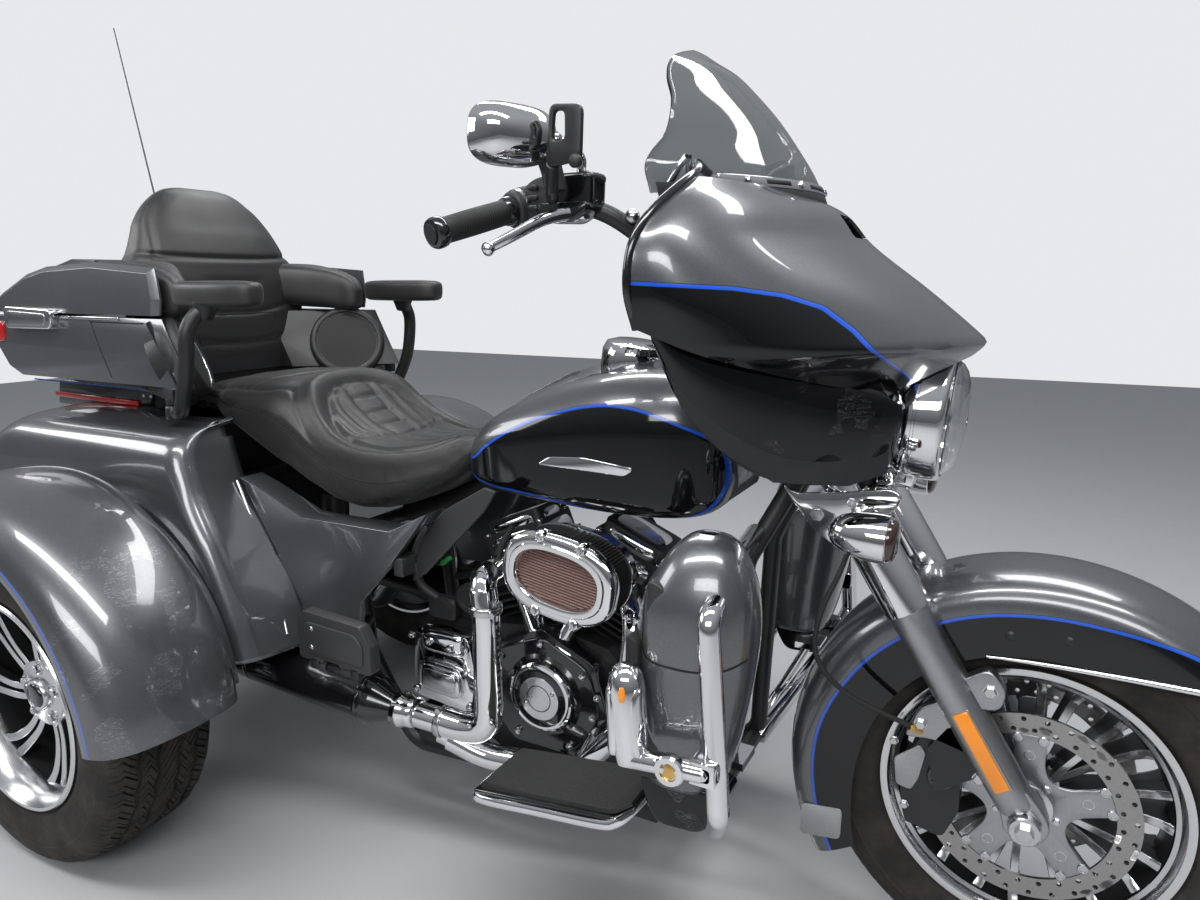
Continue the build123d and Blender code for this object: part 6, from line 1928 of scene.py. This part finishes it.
gripChoice = {"ribs": 26, "rise": 0.8, "turns": 2.0}
gripStart, gripEnd = Vector(frontAt(-734, -322, 1196)), Vector(frontAt(-777, -458, 1156))
gripRun = (gripEnd - gripStart).normalized()
barTube = tube([frontAt(-408, -50, 1002), frontAt(-420, -60, 1050), frontAt(-470, -125, 1080),
    frontAt(-520, -190, 1110), frontAt(-566, -230, 1156), frontAt(-610, -262, 1190), frontAt(-660, -276, 1204),
    frontAt(-720, -285, 1206), frontAt(-734, -322, 1196), frontAt(-776, -455, 1157)], 13, 6, 24)
bars = piece("bar_tube", both([barTube]), satin, "steering", sharp=60)
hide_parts("handlebar")
gripRows = []
d, u, v = axes(gripRun)
for k in range(105):
    s = 16 + 108 * k / 104
    base = 17 + 0.6 * math.sin(math.pi * k / 104)
    gripRows.append([tuple(gripStart + d * s + (u * math.cos(a) + v * math.sin(a)) * (base + gripChoice["rise"]
        * (abs(math.sin(gripChoice["ribs"] * math.pi * k / 104 + gripChoice["turns"] * math.sin(a))) ** 0.5)))
        for a in (2 * math.pi * j / 40 for j in range(40))])
piece("grips", both([grid(gripRows, loop=True, capped=True)]), rubber, "steering", sharp=50)
piece("grip_ends", both([turned(gripStart, gripRun, [(-2, 18), (0, 20.5), (7, 21), (12, 20), (16, 18)], 36),
    turned(gripStart, gripRun, [(123, 18), (125, 20.6), (129, 21.4),
    (137, 21.4), (141, 19.5), (142.4, 15), (142, 13), (141, 12), (141, 1)], 36)]), blackGlossPart, "steering", sharp=45)
switchEdge = roundedCorners([(-727, 1176), (-672, 1183), (-642, 1213), (-650, 1246), (-704, 1237), (-731, 1210)], 14, 5)
switch = slab([(wheelbase + p, q) for p, q in switchEdge], -318, -268)
collar = turned(frontAt(-720, -284, 1206),
    (-0.33, -0.9, -0.25), [(0, 28), (8, 29), (20, 29), (26, 26.5), (40, 26.5), (43, 24)], 40)
piece("switch_blocks", both([switch, collar]), plastic, "steering", bevel=3)
piece("switch_rings", both([turned(frontAt(-720, -284, 1206),
    (-0.33, -0.9, -0.25), [(27, 25), (27, 28.2), (33, 28.2), (33, 25)], 40)]), boltSteel, "steering", sharp=30)
piece("switch_buttons", both([lump(frontAt(-700, -319, z), (0, -1, 0), (1, 0, 0),
    [(0, 9, 4), (2, 8.6, 3.8), (3, 7, 2.6)], 3, 28) for z in (1226, 1212, 1198)]), satin, "steering", sharp=40)
tankBlock = lump(frontAt(-648, -287, 1196), (0, 0, 1),
    (1, 0, 0), [(0, 32, 20), (6, 38, 25), (36, 39, 26), (40, 40, 27), (44, 40, 27), (48, 37, 24), (49, 30, 18)], 6)
arm = slab([(wheelbase + p, q)
    for p, q in roundedCorners([(-690, 1178), (-640, 1176), (-612, 1192), (-610, 1204), (-690, 1204)], 8)], -322, -272)
piece("fluid_blocks", both([tankBlock, arm]), blackGlossPart, "steering", bevel=1.5)
piece("fluid_block_screws", both([buttonBolt(frontAt(-648 + p, -287 + q, 1244), (0, 0, 1), 4.4, 2.4)
    for p in (-28, 28) for q in (-15, 15)]), boltSteel, "steering", sharp=30)
leverLine = [frontAt(-628, -296, 1190),
    frontAt(-640, -318, 1188), frontAt(-660, -356, 1178), frontAt(-688, -396, 1154), frontAt(-706, -417, 1140)]
piece("levers", both([tube(leverLine, 8.4, 10, 18, oval=0.62, taper=(1.25, 0.8)),
    turned(frontAt(-703, -414, 1142), (-0.55, -0.7, -0.45), [(0, 5), (3, 8), (7, 9.6), (11, 9.4), (15, 6), (16.4, 1)],
    24), turned(frontAt(-630, -298, 1180), (0, 0, 1), [(0, 8), (2, 10), (20, 10), (22, 8), (22.4, 1)], 24)]),
    chrome, "steering", sharp=60)
bracket = [tube([frontAt(-560, -232, 1158), frontAt(-540, -232, 1206),
    frontAt(-514, -232, 1250), frontAt(-502, -228, 1266)], 6, 6, 12), tube([frontAt(-502, -228, 1266),
    frontAt(-500, -222, 1230), frontAt(-498, -214, 1170), frontAt(-500, -190, 1100)], 5.4, 8, 12)]
piece("bar_brackets", both(bracket), chrome, "steering", sharp=60)
piece("bar_bracket_balls", both([turned(frontAt(-575, -246, 1186),
    (0.2, -1, 0), [(0, 4), (2, 8), (7, 10.5), (12, 10.5), (17, 7), (18, 1)], 24)]), boltSteel, "steering", sharp=50)
holder = roundedCorners([(1046, 1238), (1096, 1246), (1099, 1312), (1052, 1316)], 11)
hole = roundedCorners([(1054, 1270), (1074, 1272), (1074, 1306), (1058, 1308)], 7)
ends = [[(x, y, z) for x, z in ring] for y in (-404, -396) for ring in (hole, holder)]
piece("phone_holder", [grid([ends[0], ends[1], ends[3], ends[2], ends[0]], loop=True), tube([(1052, -398, 1244),
    (1040, -380, 1226), (1024, -356, 1214), (1010, -330, 1208)], 9, 6, 16)], satin, "steering", bevel=1.4)
piece("phone_holder_parts", [turned((1092, -404, 1244), (0, -1, 0), [(0, 8), (6, 9), (10, 6), (10.4, 1)], 20),
    tube([(1024, -346, 1216), (1020, -346, 1240), (1014, -350, 1262)], 15, 4, 24)], plastic, "steering", sharp=50)
piece("phone_holder_clip", [lump((1012, -352, 1262), (-0.2, -0.3, 1),
    (1, 0, 0), [(0, 15, 12), (3, 16, 13), (9, 15, 12), (11, 11, 8)], 5)], blueBit, "steering", sharp=40)

# Mirrors: oval chrome shell, glass set into its rim, and an arm bent over the grip.

mirrorPlace, mirrorFace = Vector(frontAt(-684, -400, 1284)), Vector((-0.9, 0.37, 0.12)).normalized()
mirrorWay = Vector((-0.38, -0.92, 0))
shellRows = [(-2.5, 60.5, 38.6), (0, 62, 40), (3, 61.6, 39.6),
    (12, 60.4, 38.6), (24, 58, 36.6), (34, 53, 32), (42, 45.5, 25.5), (47, 35, 17.5), (49, 22, 10), (49.6, 9, 4)]
shell = lump(mirrorPlace, -mirrorFace, mirrorWay, shellRows, 3.0, 72)
glass = lump(mirrorPlace + mirrorFace * 2.4,
    mirrorFace, mirrorWay, [(0, 59.5, 37.6), (0.8, 59, 37), (0.9, 20, 10)], 3.0, 72)
mirror = piece("mirror_shells", both([shell]), chrome, "steering", sharp=60)
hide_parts("mirrors")
piece("mirror_glasses", both([glass]), mirrorGlass, "steering", sharp=60)
mirrorArm = [frontAt(-640, -290, 1196), frontAt(-640, -291, 1224),
    frontAt(-630, -302, 1246), frontAt(-622, -318, 1262), frontAt(-630, -346, 1276), frontAt(-642, -366, 1286)]
piece("mirror_arms", both([tube(mirrorArm, 6.4, 8, 18),
    turned(frontAt(-640, -290, 1196), (0, 0, 1), [(0, 10), (26, 10), (30, 7)], 24), turned(frontAt(-636, -352, 1279),
    (-0.1, -0.9, 0.3), [(0, 5), (3, 9), (12, 9), (15, 5)], 20)]), chrome, "steering", sharp=50)
print("stage: bars and mirrors")

# Dash: the inner fairing with four round gauges and two big speakers in it; console on the tank.

softened("fairing_inner", plastic, 2.5)
gaugeRings, gaugeFaces, speakerRings, speakerNets = [], [], [], []
for y, z, r, kind in ((-60, 1150, 46, 0),
        (60, 1150, 46, 0), (-150, 1165, 26, 0), (150, 1165, 26, 0), (-290, 1110, 66, 1), (290, 1110, 66, 1)):
    place, way = frontAt(-466, y, z), (-1, 0, 0)
    ring = turned(place, way, [(-2, r + 1), (3, r), (6, r - 3), (6, r - 6), (2, r - 8)], 48, False)
    (speakerRings if kind else gaugeRings).append(ring)
    (speakerNets if kind else gaugeFaces).append(turned(place, way, [(0, r - 5), (1.5, r - 7), (1.7, 1)], 48))
piece("gauge_rings", gaugeRings, chrome, "steering", sharp=40)
piece("gauge_faces", gaugeFaces, deepBlack, "steering", sharp=40)
piece("dash_speaker_rings", speakerRings, satin, "steering", sharp=40)
piece("dash_speaker_nets", speakerNets, silverNet, "steering", sharp=40)
softened("tank_console", chrome, 3, segments=3)
piece("fuel_cap", [turned((975, 0, 950),
    (0, 0, 1), [(0, 56), (4, 58), (9, 57), (13, 50), (16, 40), (17, 26), (17.4, 1)], 56)], chrome, "chassis", sharp=40)

# Brake hose: a round curve through the given points, with a fitting at each end.

# length of the curve that these points steer
def curveLength(points):
    knots = [points[0]] + [(a + b) / 2 for a, b in zip(points[1:], points[2:-1])] + [points[-1]]
    length = 0
    for a, b, c in zip(knots, points[1:-1], knots[1:]):
        line = [a * (1 - t) ** 2 + b * 2 * t * (1 - t) + c * t * t for t in (k / 12 for k in range(13))]
        length += sum((q - p).length for p, q in zip(line, line[1:]))
    return length


hoses = (
    ("brake_hose", [frontAt(-262, -128, 742), frontAt(-268, -150, 690), frontAt(-300, -172, 610),
                    frontAt(-306, -176, 540), frontAt(-262, -158, 482),
                    frontAt(-196, -128, 446), frontAt(-150, -108, 424)], 8, rubber),
)
for name, path, across, mat in hoses:
    curve = bpy.data.curves.new(name, "CURVE")
    curve.dimensions = "3D"
    curve.bevel_depth = across / 2000
    curve.bevel_resolution = 4
    curve.resolution_u = 16
    line = curve.splines.new("NURBS")
    line.points.add(len(path) - 1)
    for point, place in zip(line.points, path):
        point.co = (*at(*place), 1)
    line.order_u = 3
    line.use_endpoint_u = True
    curve.materials.append(mat)
    hose = bpy.data.objects.new(name, curve)
    bpy.context.scene.collection.objects.link(hose)
    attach(hose, "steering")
    run = curveLength([at(*p) for p in path])
    tuple(at(*path[0]))
fittings = [turned(frontAt(-262, -128, 742), (-0.1, -0.4, -1), [(0, 5), (8, 7), (14, 7), (16, 5)], 6),
    turned(frontAt(-150, -108, 424), (-0.8, -0.4, 0.3), [(0, 6), (12, 6.5), (20, 5)], 6)]
piece("hose_fittings", fittings, brass, "steering", sharp=30)
print("stage: dash, console and hoses")


# CAD nodes that keep their own shape take their finish here.

nodeFinish = {
    "main_frame": satin, "rear_axle": satin, "engine_cases": castGrey, "cylinders": finBlack,
    "engine_covers": chrome, "air_cleaner": chrome, "exhaust_pipes": chrome, "mufflers": blackGlossPart,
    "fuel_tank": grey, "tank_console": chrome, "seat": leather, "backrest": leather, "trunk_box": grey,
    "trunk_lid": grey, "speaker_pods": plastic, "trunk_rack": plastic, "antenna": satin, "armrest_right": satin,
    "armrest_left": satin, "rear_body": grey, "tailgate": grey, "rear_fenders": greyWorn, "side_covers": grey,
    "heat_deflectors": greyPlastic, "leg_shields": grey, "engine_guard": chrome, "floorboards": rubber,
    "foot_controls": chrome, "passenger_footboard_right": greyPlastic, "passenger_footboard_left": greyPlastic,
    "fork": forkAlloy, "fairing_inner": plastic, "handlebar": satin, "mirrors": chrome, "front_fender": grey,
    "calipers": satin, "front_tyre": tyreBlack, "rear_tyre_right": tyreBlack, "rear_tyre_left": tyreBlack,
    "front_rim": alloy, "rear_rim_right": alloy, "rear_rim_left": alloy,
}
for name, mat in nodeFinish.items():
    obj = nodes[name]
    if not obj.hide_render:
        obj.data.materials.clear()
        obj.data.materials.append(mat)
        smoothen(obj.data, 30)
print("stage: CAD nodes finished")


# Floor, lamps and the camera at the photograph's angle.

roomChoice = {
    "floor": (0.44, 0.445, 0.45),
    "world": (0.10, 0.42),  # given light from low down and from above
    "lamps": (  # name, place, aim, size, watts
        ("overhead_row", (0.5, -1.3, 3.3), (0.1, -0.1, 0.6), (4.2, 0.5), 92),
        ("second_row", (0.2, 1.4, 3.3), (0.1, 0.2, 0.6), (4.2, 0.5), 60),
        ("near_panel", (1.3, -3.6, 2.5), (0.2, 0, 0.7), (3.4, 0.9), 75),
        ("rear_panel", (-3.2, -1.6, 2.3), (-0.4, 0, 0.6), (1.8, 1.2), 40),
    ),
}

floorMesh = bpy.data.meshes.new("floor")
floorMesh.from_pydata([(-9, -9, 0), (9, -9, 0), (9, 9, 0), (-9, 9, 0)], [], [(0, 1, 2, 3)])
floor = bpy.data.objects.new("floor", floorMesh)
bpy.context.scene.collection.objects.link(floor)
floorMesh.materials.append(finish("floor_pale",
    roomChoice["floor"], 0.5, vary=0.03, grain=0.1, grainScale=60))

world = bpy.data.worlds.new("studio")
world.use_nodes = True
worldTree = world.node_tree
rays = addNode(worldTree, "ShaderNodeLightPath")
shown = addNode(worldTree, "ShaderNodeBackground", {"Color": (0.80, 0.81, 0.83, 1), "Strength": 1.0})
given = worldTree.nodes["Background"]
given.inputs[0].default_value = (0.86, 0.9, 0.96, 1)
wayUp = addNode(worldTree, "ShaderNodeSeparateXYZ", {0: addNode(worldTree, "ShaderNodeTexCoord").outputs["Generated"]})
strength = addNode(worldTree, "ShaderNodeMapRange", {"Value": wayUp.outputs["Z"],
    "From Min": -0.1, "From Max": 0.65, "To Min": roomChoice["world"][0], "To Max": roomChoice["world"][1]})
worldTree.links.new(strength.outputs["Result"], given.inputs[1])
swap = addNode(worldTree, "ShaderNodeMixShader", {"Fac": rays.outputs["Is Camera Ray"]})
worldTree.links.new(given.outputs[0], swap.inputs[1])
worldTree.links.new(shown.outputs[0], swap.inputs[2])
worldTree.links.new(swap.outputs[0], worldTree.nodes["World Output"].inputs[0])
bpy.context.scene.world = world

for lampName, place, aim, size, watts in roomChoice["lamps"]:
    light = bpy.data.lights.new(lampName, "AREA")
    light.shape = "RECTANGLE"
    light.size, light.size_y = size
    light.energy = watts
    lampObj = bpy.data.objects.new(lampName, light)
    bpy.context.scene.collection.objects.link(lampObj)
    lampObj.location = place
    lampObj.rotation_euler = (Vector(aim) - Vector(place)).to_track_quat("-Z", "Y").to_euler()

cameraData = bpy.data.cameras.new("photo_camera")
camera = bpy.data.objects.new("photo_camera", cameraData)
bpy.context.scene.collection.objects.link(camera)
cameraData.sensor_width = 36
cameraData.lens = 36 * 832.72 / 1200
cameraData.clip_start = 0.05
cameraPlace = at(1639.57, -1357.10, 1098.32)
toRight, toTop, toBack = (0.87978, 0.47537, -0.00192), (-0.09379, 0.17754, 0.97963), (0.46603, -0.86169, 0.20078)
camera.matrix_world = Matrix([(toRight[i], toTop[i], toBack[i], cameraPlace[i]) for i in range(3)] + [(0, 0, 0, 1)])
bpy.context.scene.camera = camera
bpy.context.scene.view_settings.view_transform = "Standard"
print("stage: room, lamps and camera")
